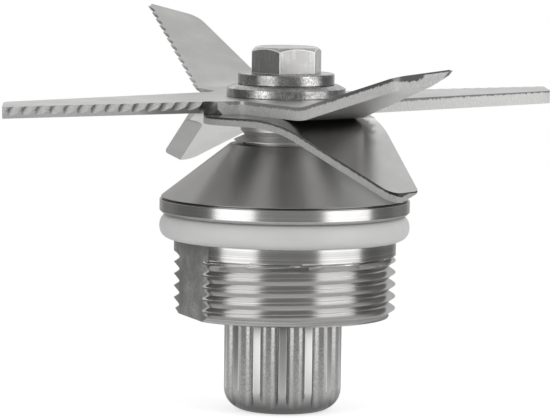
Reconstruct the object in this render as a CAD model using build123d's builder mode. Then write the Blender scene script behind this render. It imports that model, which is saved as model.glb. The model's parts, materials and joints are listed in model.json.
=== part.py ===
from build123d import *
from collections import namedtuple
import math
import os

# Blender blade assembly: a screw-in bearing housing that carries a six-armed cutter.
# Millimetres, +Z up, origin on the axis at the foot of the drive coupling, front towards -Y.

os.makedirs("parts", exist_ok=True)

# Drive coupling, a splined plug with a rounded foot
coupling_radius = 7.5
coupling_length = 11.4
coupling_foot_round = 3.0
spline_count = 14
spline_groove_radius = 1.25
spline_groove_depth = 0.95
coupling_boss_wall = 1.4
shaft_insertion = 8.4
coupling_gap = 0.5

# Housing barrel, with its one flat
barrel_wall = 2.95
barrel_chamfer = 0.85
barrel_flat_depth = 1.68
barrel_flat_heading = 200.3

# Sealing ring and its groove
ring_section = 3.2
ring_play = 0.04
ring_groove_depth = 1.59

# Housing flange and cone
flange_overhang = 1.65
flange_height = 1.75
flange_chamfer = 0.35
cone_step = 0.12
relief_depth = 0.4
relief_height = 0.25
cone_shoulder_rise = 2.05
cone_seal_cover = 1.67
cone_top_land = 1.6
cone_top_round = 0.3

# Ball bearings, two alike
bearing_bore_radius = 4.0
bearing_outer_radius = 11.0
bearing_width = 7.0
bearing_edge_chamfer = 0.3
ball_radius = 1.984
ball_count = 7
ball_clearance = 0.03
inner_land_inset = 1.45
outer_land_inset = 1.5
cage_wall = 1.5
cage_height = 4.8
cage_pocket_clearance = 0.06
shield_seat_step = 0.65
shield_seat_depth = 0.75
shield_thickness = 0.4
shield_gap = 0.2

# Rings that space and hold the bearings
spacer_height = 0.8
outer_spacer_wall = 1.4
inner_spacer_wall = 1.6
retaining_inset = 0.8
retaining_thickness = 1.0
retaining_wall = 1.8
retaining_groove_depth = 0.4
retaining_play = 0.05
retaining_opening = 50.0
retaining_lug_radius = 1.5
retaining_hole_radius = 0.7

# Shaft seal
seal_section = 2.5
seal_height = 3.0
seal_lift = 0.2
seal_case_wall = 0.4
seal_web_clearance = 0.9
seal_lip_clearance = 0.02
seal_spring_radius = 0.3
seal_spring_drop = 1.0

# Drive shaft
journal_radius = 5.0
journal_clearance = 0.3
slinger_overhang = 1.4
slinger_gap = 0.4
slinger_rim = 0.1
slinger_rise = 0.6
waist_step = 0.1
seat_step = 0.6
seat_flare = 0.6
collar_height = 2.9
spigot_flat_distance = 3.2
spigot_shortfall = 0.2

# Blade plates
lower_blade_thickness = 1.0
upper_blade_thickness = 1.6
blade_hole_clearance = 0.05
inner_corner_round = 1.5
trailing_corner_round = 2.5
leading_corner_round = 0.5

# Arms of the upper blade, seen in the flat: reach along the heading, lead and trail to its sides
Arm = namedtuple("Arm", "heading lead trail taper lead_tip trail_tip")
flat_arm = Arm(heading=36.4, lead=5.8, trail=11.0, taper=6.45, lead_tip=42.4, trail_tip=37.2)
raised_arm = Arm(heading=-62.6, lead=6.35, trail=10.1, taper=7.0, lead_tip=41.5, trail_tip=38.5)
Bend = namedtuple("Bend", "heading start radius angle")
raised_bend_heading = -51.4
raised_bend_start = 15.8
raised_bend_radius = 9.8
front_arm_rise = 14.2
rear_arm_rise = 25.5

# Ground and scalloped leading edges of the upper blade
edge_land = 0.2
bevel_width = 3.0
grind_wheel_radius = 4.0
flat_grind_length = 26.9
root_grind_length = 2.2
scallop_start = 0.25
scallop_pitch = 1.85
scallop_depth = 0.8
scallop_radius = 1.15
scallop_slope = 43.0
flat_scallop_run = 29.9
raised_scallop_run = 26.2
whole_scallop_run = 31.8

# Lower blade, seen in the flat along its bend heading
lower_bend_heading = -64.0
lower_bend_start = 14.3
lower_bend_radius = 13.5
lower_arm_drop = 30.0
lower_trail_tip_reach = 33.4
lower_trail_tip_side = -1.2
lower_lead_tip_reach = 32.9
lower_lead_tip_side = 2.4
lower_shoulder_reach = 17.0
lower_shoulder_side = 3.95
lower_waist_reach = 11.1
lower_waist_side = 5.9
lower_heel_reach = 8.4
lower_heel_side = -15.2
lower_bevel_width = 2.2
lower_grind_shortfall = 2.5
lower_tip_round = 2.2
lower_heel_round = 5.0

# Bolt and washers
bolt_across_flats = 8.0
bolt_head_height = 3.3
bolt_head_heading = 20.0
bolt_head_chamfer = 30.0
bolt_top_radius = 3.7
bolt_radius = 2.45
bolt_length = 16.0
bolt_hole_clearance = 0.05
bolt_hole_spare = 0.8
washer_hole_clearance = 0.2
large_washer_radius = 7.4
large_washer_thickness = 1.5
large_washer_rim = 1.05
large_washer_slope_width = 0.9
small_washer_radius = 6.0
small_washer_thickness = 1.4
small_washer_round = 0.2

# Heights that follow from the stack
housing_bottom = coupling_length + coupling_gap
retaining_bottom = housing_bottom + retaining_inset
lower_bearing_bottom = retaining_bottom + retaining_thickness
upper_bearing_bottom = lower_bearing_bottom + bearing_width + spacer_height
bearing_top = upper_bearing_bottom + bearing_width
seal_bottom = bearing_top + seal_lift
seal_top = seal_bottom + seal_height
flange_top = bearing_top - cone_shoulder_rise
flange_bottom = flange_top - flange_height
barrel_top = flange_bottom - ring_section - ring_play
cone_top = seal_top + cone_seal_cover
slinger_bottom = cone_top + slinger_gap
waist_height = slinger_bottom + slinger_rim + slinger_rise
blade_seat = slinger_bottom + collar_height
lower_blade_top = blade_seat + lower_blade_thickness
upper_blade_top = lower_blade_top + upper_blade_thickness
small_washer_bottom = upper_blade_top + large_washer_thickness
bolt_seat = small_washer_bottom + small_washer_thickness
bolt_top = bolt_seat + bolt_head_height
bolt_tip = bolt_seat - bolt_length
bolt_shoulder = bolt_top - (bolt_across_flats - bolt_top_radius) * math.tan(math.radians(bolt_head_chamfer))
shaft_bottom = coupling_length - shaft_insertion
seal_spring_height = seal_top - seal_spring_drop

# Radii that follow from the fits
ball_circle_radius = (bearing_bore_radius + bearing_outer_radius) / 2
inner_land_radius = ball_circle_radius - inner_land_inset
outer_land_radius = ball_circle_radius + outer_land_inset
shield_seat_radius = outer_land_radius + shield_seat_step
raceway_radius = ball_radius + ball_clearance
pocket_radius = ball_radius + cage_pocket_clearance
coupling_boss_radius = bearing_bore_radius + coupling_boss_wall
barrel_radius = bearing_outer_radius + barrel_wall
barrel_flat_distance = barrel_radius - barrel_flat_depth
groove_root_radius = barrel_radius - ring_groove_depth
ring_circle_radius = groove_root_radius + ring_play + ring_section / 2
flange_radius = barrel_radius + flange_overhang
cone_base_radius = flange_radius - cone_step
shaft_hole_radius = journal_radius + journal_clearance
cone_top_radius = shaft_hole_radius + cone_top_land
slinger_radius = journal_radius + slinger_overhang
waist_radius = journal_radius + waist_step
seat_radius = journal_radius + seat_step
seal_radius = journal_radius + seal_section
seal_web_inner_radius = journal_radius + seal_web_clearance
seal_edge_radius = journal_radius + seal_lip_clearance
seal_root_radius = (seal_edge_radius + seal_web_inner_radius) / 2
spline_circle_radius = coupling_radius - spline_groove_depth + spline_groove_radius
retaining_groove_radius = bearing_outer_radius + retaining_groove_depth
retaining_lug_circle = retaining_groove_radius - retaining_lug_radius
bolt_hole_radius = bolt_radius + bolt_hole_clearance
washer_hole_radius = bolt_radius + washer_hole_clearance
blade_hole_radius = bearing_bore_radius + blade_hole_clearance
blade_hole_flat_distance = spigot_flat_distance + blade_hole_clearance

# A spline land, not a groove, faces the front
spline_start_angle = -90 + 180 / spline_count

# Scallops that fit along the edge of a flat arm, of a raised arm and of the hub beside it
flat_scallop_count = int(flat_scallop_run / scallop_pitch)
raised_scallop_count = int(raised_scallop_run / scallop_pitch)
root_scallop_count = int(whole_scallop_run / scallop_pitch) - raised_scallop_count

# Reach of the cutting tools past the work
tool_reach = 60.0
scallop_reach = 6 * upper_blade_thickness


def turned(point, degrees):
    """A flat point turned about the axis."""
    angle = math.radians(degrees)
    x = point[0] * math.cos(angle) - point[1] * math.sin(angle)
    y = point[0] * math.sin(angle) + point[1] * math.cos(angle)
    return (x, y)


def side_at(start, end, reach):
    """Sideways place, at a given reach, of the straight edge from start to end."""
    share = (reach - start[0]) / (end[0] - start[0])
    return start[1] + share * (end[1] - start[1])


def arm_outline(arm):
    """Leading root, leading tip, trailing tip and trailing root of an arm along its heading."""
    narrowing = math.tan(math.radians(arm.taper))
    lead_tip = (arm.lead_tip, arm.lead - arm.lead_tip * narrowing)
    trail_tip = (arm.trail_tip, arm.trail_tip * narrowing - arm.trail)
    return [(0, arm.lead), lead_tip, trail_tip, (0, -arm.trail)]


def bend_end_reach(bend):
    """Flat reach at which a bend ends."""
    return bend.start + bend.radius * math.radians(bend.angle)


def folded_reach(reach, bend):
    """Plan reach of a flat reach once the sheet is bent."""
    angle = math.radians(bend.angle)
    past_bend = reach - bend_end_reach(bend)
    if reach <= bend.start:
        return reach
    if past_bend <= 0:
        return bend.start + bend.radius * math.sin((reach - bend.start) / bend.radius)
    return bend.start + bend.radius * math.sin(angle) + past_bend * math.cos(angle)


def heading_plane(height, degrees):
    """Level plane whose X points along a heading."""
    x_dir = turned((1, 0), degrees)
    return Plane(origin=(0, 0, height), x_dir=(x_dir[0], x_dir[1], 0), z_dir=(0, 0, 1))


def side_plane(height, degrees):
    """Upright plane through the axis, X along a heading and Y up."""
    level = heading_plane(height, degrees)
    return Plane(origin=level.origin, x_dir=level.x_dir, z_dir=-level.y_dir)


def bent_face_plane(height, bend, upward):
    """Plane of an arm's top face past its bend, X along the slope, origin at the end of the bend."""
    angle = math.radians(bend.angle)
    level = heading_plane(height, bend.heading)
    climb = math.sin(angle) * upward
    reach = bend.start + bend.radius * math.sin(angle)
    origin = level.from_local_coords((reach, 0, upward * bend.radius * (1 - math.cos(angle))))
    slope_dir = level.x_dir * math.cos(angle) + level.z_dir * climb
    normal_dir = level.z_dir * math.cos(angle) - level.x_dir * climb
    return Plane(origin=origin, x_dir=slope_dir, z_dir=normal_dir)


def edge_plane(face_plane, tip, root):
    """Plane across a leading edge at its tip: X inward, Y out of the face, Z towards the root."""
    tip_point = face_plane.from_local_coords((tip[0], tip[1], 0))
    root_point = face_plane.from_local_coords((root[0], root[1], 0))
    along = (root_point - tip_point).normalized()
    return Plane(origin=tip_point, x_dir=face_plane.z_dir.cross(along), z_dir=along)


def edge_grinder(edge, length, width, thickness):
    """Tool that grinds a leading edge from below, leaves a thin land and runs out in the wheel's curve."""
    slope = math.atan2(thickness - edge_land, width)
    down_slope = (math.cos(slope), -math.sin(slope))
    off_slope = (-math.sin(slope), -math.cos(slope))

    def bevel_point(along, away):
        return (along * down_slope[0] + away * off_slope[0],
                along * down_slope[1] + away * off_slope[1] - edge_land)

    outline = [bevel_point(-width, 0), bevel_point(2 * width, 0),
               bevel_point(2 * width, thickness), bevel_point(-width, thickness)]
    run_out = edge.offset(length)
    wheel_centre = run_out.from_local_coords((*bevel_point(0, grind_wheel_radius), 0))
    wheel_dir = run_out.x_dir * down_slope[0] + run_out.y_dir * down_slope[1]
    with BuildPart() as grinder:
        with BuildSketch(edge.offset(-width)):
            with BuildLine():
                Polyline(*outline, close=True)
            make_face()
        extrude(amount=width + length)
        with BuildSketch(run_out):
            with BuildLine():
                Polyline(*outline, close=True)
            make_face()
        revolve(axis=Axis(wheel_centre, wheel_dir), revolution_arc=90)
    return grinder.part


def scallop_cutter(edge, start, count):
    """Row of round flutes across a leading edge, cut from above, the first centred at start."""
    slope = math.radians(scallop_slope)
    back_off = 2 * upper_blade_thickness
    inward = scallop_depth - scallop_radius * math.sin(slope) - back_off * math.cos(slope)
    outward = back_off * math.sin(slope) - scallop_radius * math.cos(slope)
    origin = edge.from_local_coords((inward, outward, start))
    flute_dir = edge.x_dir * math.cos(slope) - edge.y_dir * math.sin(slope)
    with BuildPart() as cutter:
        with BuildSketch(Plane(origin=origin, x_dir=edge.z_dir, z_dir=flute_dir)):
            with Locations(*[(place * scallop_pitch, 0) for place in range(count)]):
                Circle(scallop_radius)
        extrude(amount=scallop_reach)
    return cutter.part


def bent_arm_blank(top, thickness, bend, upward, plan_points, trailing_round, leading_round):
    """Arm of bent sheet, from the start of its bend to its rounded tip."""
    with BuildPart() as blank:
        with BuildSketch(side_plane(top, bend.heading)):
            with BuildLine():
                top_bend = JernArc((bend.start, 0), (1, 0), bend.radius, upward * bend.angle)
                top_run = PolarLine(top_bend @ 1, tool_reach, upward * bend.angle)
                low_bend = JernArc(
                    (bend.start, -thickness), (1, 0), bend.radius + upward * thickness, upward * bend.angle
                )
                low_run = PolarLine(low_bend @ 1, tool_reach, upward * bend.angle)
                Line(top_bend @ 0, low_bend @ 0)
                Line(top_run @ 1, low_run @ 1)
            make_face()
        extrude(amount=tool_reach, both=True)
        with BuildSketch(heading_plane(top - tool_reach, bend.heading)) as plan:
            with BuildLine():
                Polyline(*[(folded_reach(reach, bend), side) for reach, side in plan_points], close=True)
            make_face()
            tips = plan.vertices().sort_by(Axis.X)[-2:].sort_by(Axis.Y)
            fillet(tips[0], radius=trailing_round)
            tips = plan.vertices().sort_by(Axis.X)[-3:].sort_by(Axis.Y)
            fillet(tips[-1], radius=leading_round)
        extrude(amount=2 * tool_reach, mode=Mode.INTERSECT)
    return blank.part


# Upper blade, raised arms: bent sheet, ground and scalloped along the straight leading edge
raised_skew = raised_arm.heading - raised_bend_heading
raised_outline = [turned(point, raised_skew) for point in arm_outline(raised_arm)]
raised_lead_root, raised_lead_tip, raised_trail_tip, raised_trail_root = raised_outline
raised_lead_start = (raised_bend_start, side_at(raised_lead_root, raised_lead_tip, raised_bend_start))
raised_trail_start = (raised_bend_start, side_at(raised_trail_root, raised_trail_tip, raised_bend_start))
raised_grind_length = math.dist(raised_lead_tip, raised_lead_start)
raised_parts = []
for rise in (front_arm_rise, rear_arm_rise):
    bend = Bend(raised_bend_heading, raised_bend_start, raised_bend_radius, rise)
    bend_end = bend_end_reach(bend)
    lead_end = (bend_end, side_at(raised_lead_root, raised_lead_tip, bend_end))
    trail_end = (bend_end, side_at(raised_trail_root, raised_trail_tip, bend_end))
    plan_points = [
        raised_lead_start, lead_end, raised_lead_tip, raised_trail_tip, trail_end, raised_trail_start
    ]
    with BuildPart() as raised_part:
        add(bent_arm_blank(
            upper_blade_top, upper_blade_thickness, bend, 1, plan_points,
            trailing_corner_round, leading_corner_round,
        ))
        face_plane = bent_face_plane(upper_blade_top, bend, 1)
        edge = edge_plane(face_plane, (raised_lead_tip[0] - bend_end, raised_lead_tip[1]), (0, lead_end[1]))
        add(edge_grinder(edge, raised_grind_length, bevel_width, upper_blade_thickness), mode=Mode.SUBTRACT)
        add(scallop_cutter(edge, scallop_start, raised_scallop_count), mode=Mode.SUBTRACT)
    raised_parts.append(raised_part.part)

# Upper blade: hub with the flat arms, joined to the raised arms, whose grind and scallops run on to the hub
root_scallop_start = scallop_start + raised_scallop_count * scallop_pitch - raised_grind_length
with BuildPart() as upper_blade:
    with BuildSketch(Plane.XY.offset(lower_blade_top)) as hub:
        for half_turn in (0, 180):
            Polygon(*arm_outline(flat_arm), rotation=flat_arm.heading + half_turn, align=None)
            Polygon(
                raised_lead_root, raised_lead_start, raised_trail_start, raised_trail_root,
                rotation=raised_bend_heading + half_turn, align=None,
            )
        fillet(hub.vertices().sort_by_distance((0, 0, 0))[:4], radius=inner_corner_round)
        fillet(hub.vertices().sort_by_distance((0, 0, 0))[-4:-2], radius=trailing_corner_round)
        fillet(hub.vertices().sort_by_distance((0, 0, 0))[-2:], radius=leading_corner_round)
    extrude(amount=upper_blade_thickness)
    for half_turn in (0, 180):
        face_plane = heading_plane(upper_blade_top, flat_arm.heading + half_turn)
        lead_root, lead_tip = arm_outline(flat_arm)[:2]
        edge = edge_plane(face_plane, lead_tip, lead_root)
        add(edge_grinder(edge, flat_grind_length, bevel_width, upper_blade_thickness), mode=Mode.SUBTRACT)
        add(scallop_cutter(edge, scallop_start, flat_scallop_count), mode=Mode.SUBTRACT)
    for half_turn, arm_part in zip((0, 180), raised_parts):
        add(arm_part, rotation=(0, 0, half_turn))
        face_plane = heading_plane(upper_blade_top, raised_bend_heading + half_turn)
        edge = edge_plane(face_plane, raised_lead_start, raised_lead_root)
        add(edge_grinder(edge, root_grind_length, bevel_width, upper_blade_thickness), mode=Mode.SUBTRACT)
        add(scallop_cutter(edge, root_scallop_start, root_scallop_count), mode=Mode.SUBTRACT)
    with BuildSketch(Plane.XY.offset(lower_blade_top)):
        Circle(blade_hole_radius)
        Rectangle(2 * blade_hole_radius, 2 * blade_hole_flat_distance, mode=Mode.INTERSECT)
    extrude(amount=upper_blade_thickness, mode=Mode.SUBTRACT)
upper_blade.part.label = "upper_blade"
export_step(upper_blade.part, "parts/upper_blade.step")

# Lower blade: hub plate and two arms bent down, with plain ground leading edges
lower_bend = Bend(lower_bend_heading, lower_bend_start, lower_bend_radius, lower_arm_drop)
lower_bend_end = bend_end_reach(lower_bend)
lower_heel = (lower_heel_reach, lower_heel_side)
lower_trail_tip = (lower_trail_tip_reach, lower_trail_tip_side)
lower_lead_tip = (lower_lead_tip_reach, lower_lead_tip_side)
lower_shoulder = (lower_shoulder_reach, lower_shoulder_side)
lower_waist = (lower_waist_reach, lower_waist_side)
lower_trail_start = (lower_bend_start, side_at(lower_heel, lower_trail_tip, lower_bend_start))
lower_trail_end = (lower_bend_end, side_at(lower_heel, lower_trail_tip, lower_bend_end))
lower_lead_start = (lower_bend_start, side_at(lower_waist, lower_shoulder, lower_bend_start))
lower_lead_end = (lower_bend_end, side_at(lower_shoulder, lower_lead_tip, lower_bend_end))
with BuildPart() as lower_arm:
    add(bent_arm_blank(
        lower_blade_top, lower_blade_thickness, lower_bend, -1,
        [lower_lead_start, lower_shoulder, lower_lead_end, lower_lead_tip, lower_trail_tip,
         lower_trail_end, lower_trail_start],
        lower_tip_round, leading_corner_round,
    ))
    edge = edge_plane(
        bent_face_plane(lower_blade_top, lower_bend, -1),
        (lower_lead_tip[0] - lower_bend_end, lower_lead_tip[1]), (0, lower_lead_end[1]),
    )
    lower_grind_length = lower_lead_tip_reach - lower_bend_end - lower_grind_shortfall
    add(edge_grinder(edge, lower_grind_length, lower_bevel_width, lower_blade_thickness), mode=Mode.SUBTRACT)
with BuildPart() as lower_blade:
    with BuildSketch(heading_plane(blade_seat, lower_bend_heading)) as plate:
        half_outline = [lower_heel, lower_trail_start, lower_lead_start, lower_waist]
        with BuildLine():
            Polyline(*half_outline, *[(-reach, -side) for reach, side in half_outline], close=True)
        make_face()
        fillet(plate.vertices().sort_by(Axis.Y)[:1], radius=lower_heel_round)
        fillet(plate.vertices().sort_by(Axis.Y)[-1:], radius=lower_heel_round)
        with Locations(Rotation(0, 0, -lower_bend_heading)):
            Circle(blade_hole_radius, mode=Mode.SUBTRACT)
            for flat_side in (-1, 1):
                with Locations((0, flat_side * (blade_hole_flat_distance + blade_hole_radius / 2))):
                    Rectangle(2 * blade_hole_radius, blade_hole_radius)
    extrude(amount=lower_blade_thickness)
    for half_turn in (0, 180):
        add(lower_arm.part, rotation=(0, 0, half_turn))
lower_blade.part.label = "lower_blade"
export_step(lower_blade.part, "parts/lower_blade.step")

# Hexagon bolt with a chamfered plain head, its shank down the shaft
with BuildPart() as hex_bolt:
    with BuildSketch(Plane.XY.offset(bolt_seat)):
        RegularPolygon(bolt_across_flats / 2, 6, major_radius=False, rotation=bolt_head_heading)
    extrude(amount=bolt_head_height)
    with BuildSketch(Plane.XZ):
        with BuildLine():
            Polyline(
                (0, bolt_seat), (bolt_across_flats, bolt_seat), (bolt_across_flats, bolt_shoulder),
                (bolt_top_radius, bolt_top), (0, bolt_top), close=True,
            )
        make_face()
    revolve(axis=Axis.Z, mode=Mode.INTERSECT)
    with BuildSketch(Plane.XY.offset(bolt_tip)):
        Circle(bolt_radius)
    extrude(amount=bolt_length)
hex_bolt.part.label = "hex_bolt"
export_step(hex_bolt.part, "parts/hex_bolt.step")

# Small washer with a broken top edge
with BuildPart() as small_washer:
    with BuildSketch(Plane.XY.offset(small_washer_bottom)):
        Circle(small_washer_radius)
        Circle(washer_hole_radius, mode=Mode.SUBTRACT)
    extrude(amount=small_washer_thickness)
    top_rim = small_washer.faces().sort_by(Axis.Z)[-1].outer_wire().edges()
    fillet(top_rim, radius=small_washer_round)
small_washer.part.label = "small_washer"
export_step(small_washer.part, "parts/small_washer.step")

# Large washer with a sloped rim
with BuildPart() as large_washer:
    with BuildSketch(Plane.XZ):
        with BuildLine():
            Polyline(
                (washer_hole_radius, upper_blade_top), (large_washer_radius, upper_blade_top),
                (large_washer_radius, upper_blade_top + large_washer_rim),
                (large_washer_radius - large_washer_slope_width, small_washer_bottom),
                (washer_hole_radius, small_washer_bottom), close=True,
            )
        make_face()
    revolve(axis=Axis.Z)
large_washer.part.label = "large_washer"
export_step(large_washer.part, "parts/large_washer.step")

# Drive shaft: bearing journal, seal journal, slinger, waisted collar and a two-flat spigot
with BuildPart() as drive_shaft:
    with BuildSketch(Plane.XZ):
        with BuildLine():
            Polyline(
                (0, shaft_bottom), (bearing_bore_radius, shaft_bottom), (bearing_bore_radius, bearing_top),
                (journal_radius, bearing_top), (journal_radius, slinger_bottom),
                (slinger_radius, slinger_bottom), (slinger_radius, slinger_bottom + slinger_rim),
                (waist_radius, waist_height), (seat_radius, waist_height + seat_flare),
                (seat_radius, blade_seat), (0, blade_seat), close=True,
            )
        make_face()
    revolve(axis=Axis.Z)
    with BuildSketch(Plane.XY.offset(blade_seat)):
        Circle(bearing_bore_radius)
        Rectangle(2 * bearing_bore_radius, 2 * spigot_flat_distance, mode=Mode.INTERSECT)
    extrude(amount=upper_blade_top - spigot_shortfall - blade_seat)
    with BuildSketch(Plane.XY.offset(bolt_tip - bolt_hole_spare)):
        Circle(bolt_hole_radius)
    extrude(amount=upper_blade_top - bolt_tip + bolt_hole_spare, mode=Mode.SUBTRACT)
drive_shaft.part.label = "drive_shaft"
export_step(drive_shaft.part, "parts/drive_shaft.step")

# Housing: barrel, ring groove, flange and cone round the bearing and seal bores
with BuildPart() as housing:
    with BuildSketch(Plane.XZ):
        with BuildLine():
            Polyline(
                (bearing_outer_radius, housing_bottom), (barrel_radius - barrel_chamfer, housing_bottom),
                (barrel_radius, housing_bottom + barrel_chamfer), (barrel_radius, barrel_top),
                (groove_root_radius, barrel_top), (groove_root_radius, flange_bottom),
                (flange_radius - flange_chamfer, flange_bottom),
                (flange_radius, flange_bottom + flange_chamfer), (flange_radius, flange_top),
                (cone_base_radius - relief_depth, flange_top),
                (cone_base_radius - relief_depth, flange_top + relief_height),
                (cone_base_radius, flange_top + relief_height),
                (cone_top_radius, cone_top), (shaft_hole_radius, cone_top),
                (shaft_hole_radius, seal_top), (seal_radius, seal_top), (seal_radius, bearing_top),
                (bearing_outer_radius, bearing_top), (bearing_outer_radius, lower_bearing_bottom),
                (retaining_groove_radius + retaining_play, lower_bearing_bottom),
                (retaining_groove_radius + retaining_play, retaining_bottom - retaining_play),
                (bearing_outer_radius, retaining_bottom - retaining_play), close=True,
            )
        make_face()
    revolve(axis=Axis.Z)
    fillet(housing.faces().sort_by(Axis.Z)[-1].outer_wire().edges(), radius=cone_top_round)
    with BuildSketch(heading_plane(housing_bottom, barrel_flat_heading)):
        with Locations((barrel_flat_distance + barrel_radius / 2, 0)):
            Rectangle(barrel_radius, 2 * barrel_radius)
    extrude(amount=barrel_top - housing_bottom, mode=Mode.SUBTRACT)
housing.part.label = "housing"
export_step(housing.part, "parts/housing.step")

# Sealing ring under the flange
with BuildPart() as sealing_ring:
    with Locations((0, 0, barrel_top + (ring_section + ring_play) / 2)):
        Torus(ring_circle_radius, ring_section / 2)
sealing_ring.part.label = "sealing_ring"
export_step(sealing_ring.part, "parts/sealing_ring.step")

# Spline coupling: fluted plug with a rounded foot, bored for the shaft
with BuildPart() as spline_coupling:
    with BuildSketch(Plane.XZ):
        with BuildLine():
            foot = Line((0, 0), (coupling_radius - coupling_foot_round, 0))
            turn = JernArc(foot @ 1, (1, 0), coupling_foot_round, 90)
            Polyline(
                turn @ 1, (coupling_radius, coupling_length), (coupling_boss_radius, coupling_length),
                (coupling_boss_radius, lower_bearing_bottom), (bearing_bore_radius, lower_bearing_bottom),
                (bearing_bore_radius, shaft_bottom), (0, shaft_bottom), foot @ 0,
            )
        make_face()
    revolve(axis=Axis.Z)
    with BuildSketch(Plane.XY):
        with PolarLocations(spline_circle_radius, spline_count, start_angle=spline_start_angle):
            Circle(spline_groove_radius)
    extrude(amount=coupling_length, mode=Mode.SUBTRACT)
spline_coupling.part.label = "spline_coupling"
export_step(spline_coupling.part, "parts/spline_coupling.step")

# Shaft seal: stiffening case
with BuildPart() as seal_case:
    with BuildSketch(Plane.XZ):
        with BuildLine():
            Polyline(
                (seal_web_inner_radius, seal_bottom), (seal_radius, seal_bottom), (seal_radius, seal_top),
                (seal_radius - seal_case_wall, seal_top),
                (seal_radius - seal_case_wall, seal_bottom + seal_case_wall),
                (seal_web_inner_radius, seal_bottom + seal_case_wall), close=True,
            )
        make_face()
    revolve(axis=Axis.Z)
seal_case.part.label = "seal_case"
export_step(seal_case.part, "parts/seal_case.step")

# Shaft seal: rubber lip, with a seat for its spring
with BuildPart() as seal_lip:
    with BuildSketch(Plane.XZ):
        with BuildLine():
            Polyline(
                (seal_root_radius, seal_bottom), (seal_web_inner_radius, seal_bottom),
                (seal_web_inner_radius, seal_spring_height + seal_spring_drop / 2),
                (seal_root_radius, seal_spring_height + seal_spring_drop / 2),
                (seal_edge_radius, seal_spring_height),
                (seal_root_radius, seal_spring_height - seal_spring_drop / 2), close=True,
            )
        make_face()
    revolve(axis=Axis.Z)
    with Locations((0, 0, seal_spring_height)):
        Torus(seal_web_inner_radius, seal_spring_radius, mode=Mode.SUBTRACT)
seal_lip.part.label = "seal_lip"
export_step(seal_lip.part, "parts/seal_lip.step")

# Shaft seal: garter spring
with BuildPart() as seal_spring:
    with Locations((0, 0, seal_spring_height)):
        Torus(seal_web_inner_radius, seal_spring_radius)
seal_spring.part.label = "seal_spring"
export_step(seal_spring.part, "parts/seal_spring.step")

# Ball bearings, the lower and the upper
for place, bottom in (("lower", lower_bearing_bottom), ("upper", upper_bearing_bottom)):
    top = bottom + bearing_width
    middle = bottom + bearing_width / 2

    with BuildPart() as outer_ring:
        with BuildSketch(Plane.XZ):
            with BuildLine():
                Polyline(
                    (shield_seat_radius, bottom), (bearing_outer_radius - bearing_edge_chamfer, bottom),
                    (bearing_outer_radius, bottom + bearing_edge_chamfer),
                    (bearing_outer_radius, top - bearing_edge_chamfer),
                    (bearing_outer_radius - bearing_edge_chamfer, top), (shield_seat_radius, top),
                    (shield_seat_radius, top - shield_seat_depth),
                    (outer_land_radius, top - shield_seat_depth),
                    (outer_land_radius, bottom + shield_seat_depth),
                    (shield_seat_radius, bottom + shield_seat_depth), close=True,
                )
            make_face()
        revolve(axis=Axis.Z)
        with Locations((0, 0, middle)):
            Torus(ball_circle_radius, raceway_radius, mode=Mode.SUBTRACT)
    outer_ring.part.label = f"{place}_bearing_outer_ring"
    export_step(outer_ring.part, f"parts/{place}_bearing_outer_ring.step")

    with BuildPart() as inner_ring:
        with BuildSketch(Plane.XZ):
            with BuildLine():
                Polyline(
                    (bearing_bore_radius + bearing_edge_chamfer, bottom), (inner_land_radius, bottom),
                    (inner_land_radius, top), (bearing_bore_radius + bearing_edge_chamfer, top),
                    (bearing_bore_radius, top - bearing_edge_chamfer),
                    (bearing_bore_radius, bottom + bearing_edge_chamfer), close=True,
                )
            make_face()
        revolve(axis=Axis.Z)
        with Locations((0, 0, middle)):
            Torus(ball_circle_radius, raceway_radius, mode=Mode.SUBTRACT)
    inner_ring.part.label = f"{place}_bearing_inner_ring"
    export_step(inner_ring.part, f"parts/{place}_bearing_inner_ring.step")

    with BuildPart() as balls:
        with Locations((0, 0, middle)):
            with PolarLocations(ball_circle_radius, ball_count):
                Sphere(ball_radius)
    balls.part.label = f"{place}_bearing_balls"
    export_step(balls.part, f"parts/{place}_bearing_balls.step")

    with BuildPart() as cage:
        with BuildSketch(Plane.XY.offset(middle - cage_height / 2)):
            Circle(ball_circle_radius + cage_wall / 2)
            Circle(ball_circle_radius - cage_wall / 2, mode=Mode.SUBTRACT)
        extrude(amount=cage_height)
        with Locations((0, 0, middle)):
            with PolarLocations(ball_circle_radius, ball_count):
                Cylinder(pocket_radius, 2 * cage_wall, rotation=(0, 90, 0), mode=Mode.SUBTRACT)
    cage.part.label = f"{place}_bearing_cage"
    export_step(cage.part, f"parts/{place}_bearing_cage.step")

    with BuildPart() as shields:
        for shield_bottom in (bottom + shield_seat_depth - shield_thickness, top - shield_seat_depth):
            with BuildSketch(Plane.XY.offset(shield_bottom)):
                Circle(shield_seat_radius)
                Circle(inner_land_radius + shield_gap, mode=Mode.SUBTRACT)
            extrude(amount=shield_thickness)
    shields.part.label = f"{place}_bearing_shields"
    export_step(shields.part, f"parts/{place}_bearing_shields.step")

# Spacer rings between the bearings
with BuildPart() as bearing_outer_spacer:
    with BuildSketch(Plane.XY.offset(upper_bearing_bottom - spacer_height)):
        Circle(bearing_outer_radius)
        Circle(bearing_outer_radius - outer_spacer_wall, mode=Mode.SUBTRACT)
    extrude(amount=spacer_height)
bearing_outer_spacer.part.label = "bearing_outer_spacer"
export_step(bearing_outer_spacer.part, "parts/bearing_outer_spacer.step")

with BuildPart() as bearing_inner_spacer:
    with BuildSketch(Plane.XY.offset(upper_bearing_bottom - spacer_height)):
        Circle(bearing_bore_radius + inner_spacer_wall)
        Circle(bearing_bore_radius, mode=Mode.SUBTRACT)
    extrude(amount=spacer_height)
bearing_inner_spacer.part.label = "bearing_inner_spacer"
export_step(bearing_inner_spacer.part, "parts/bearing_inner_spacer.step")

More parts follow.
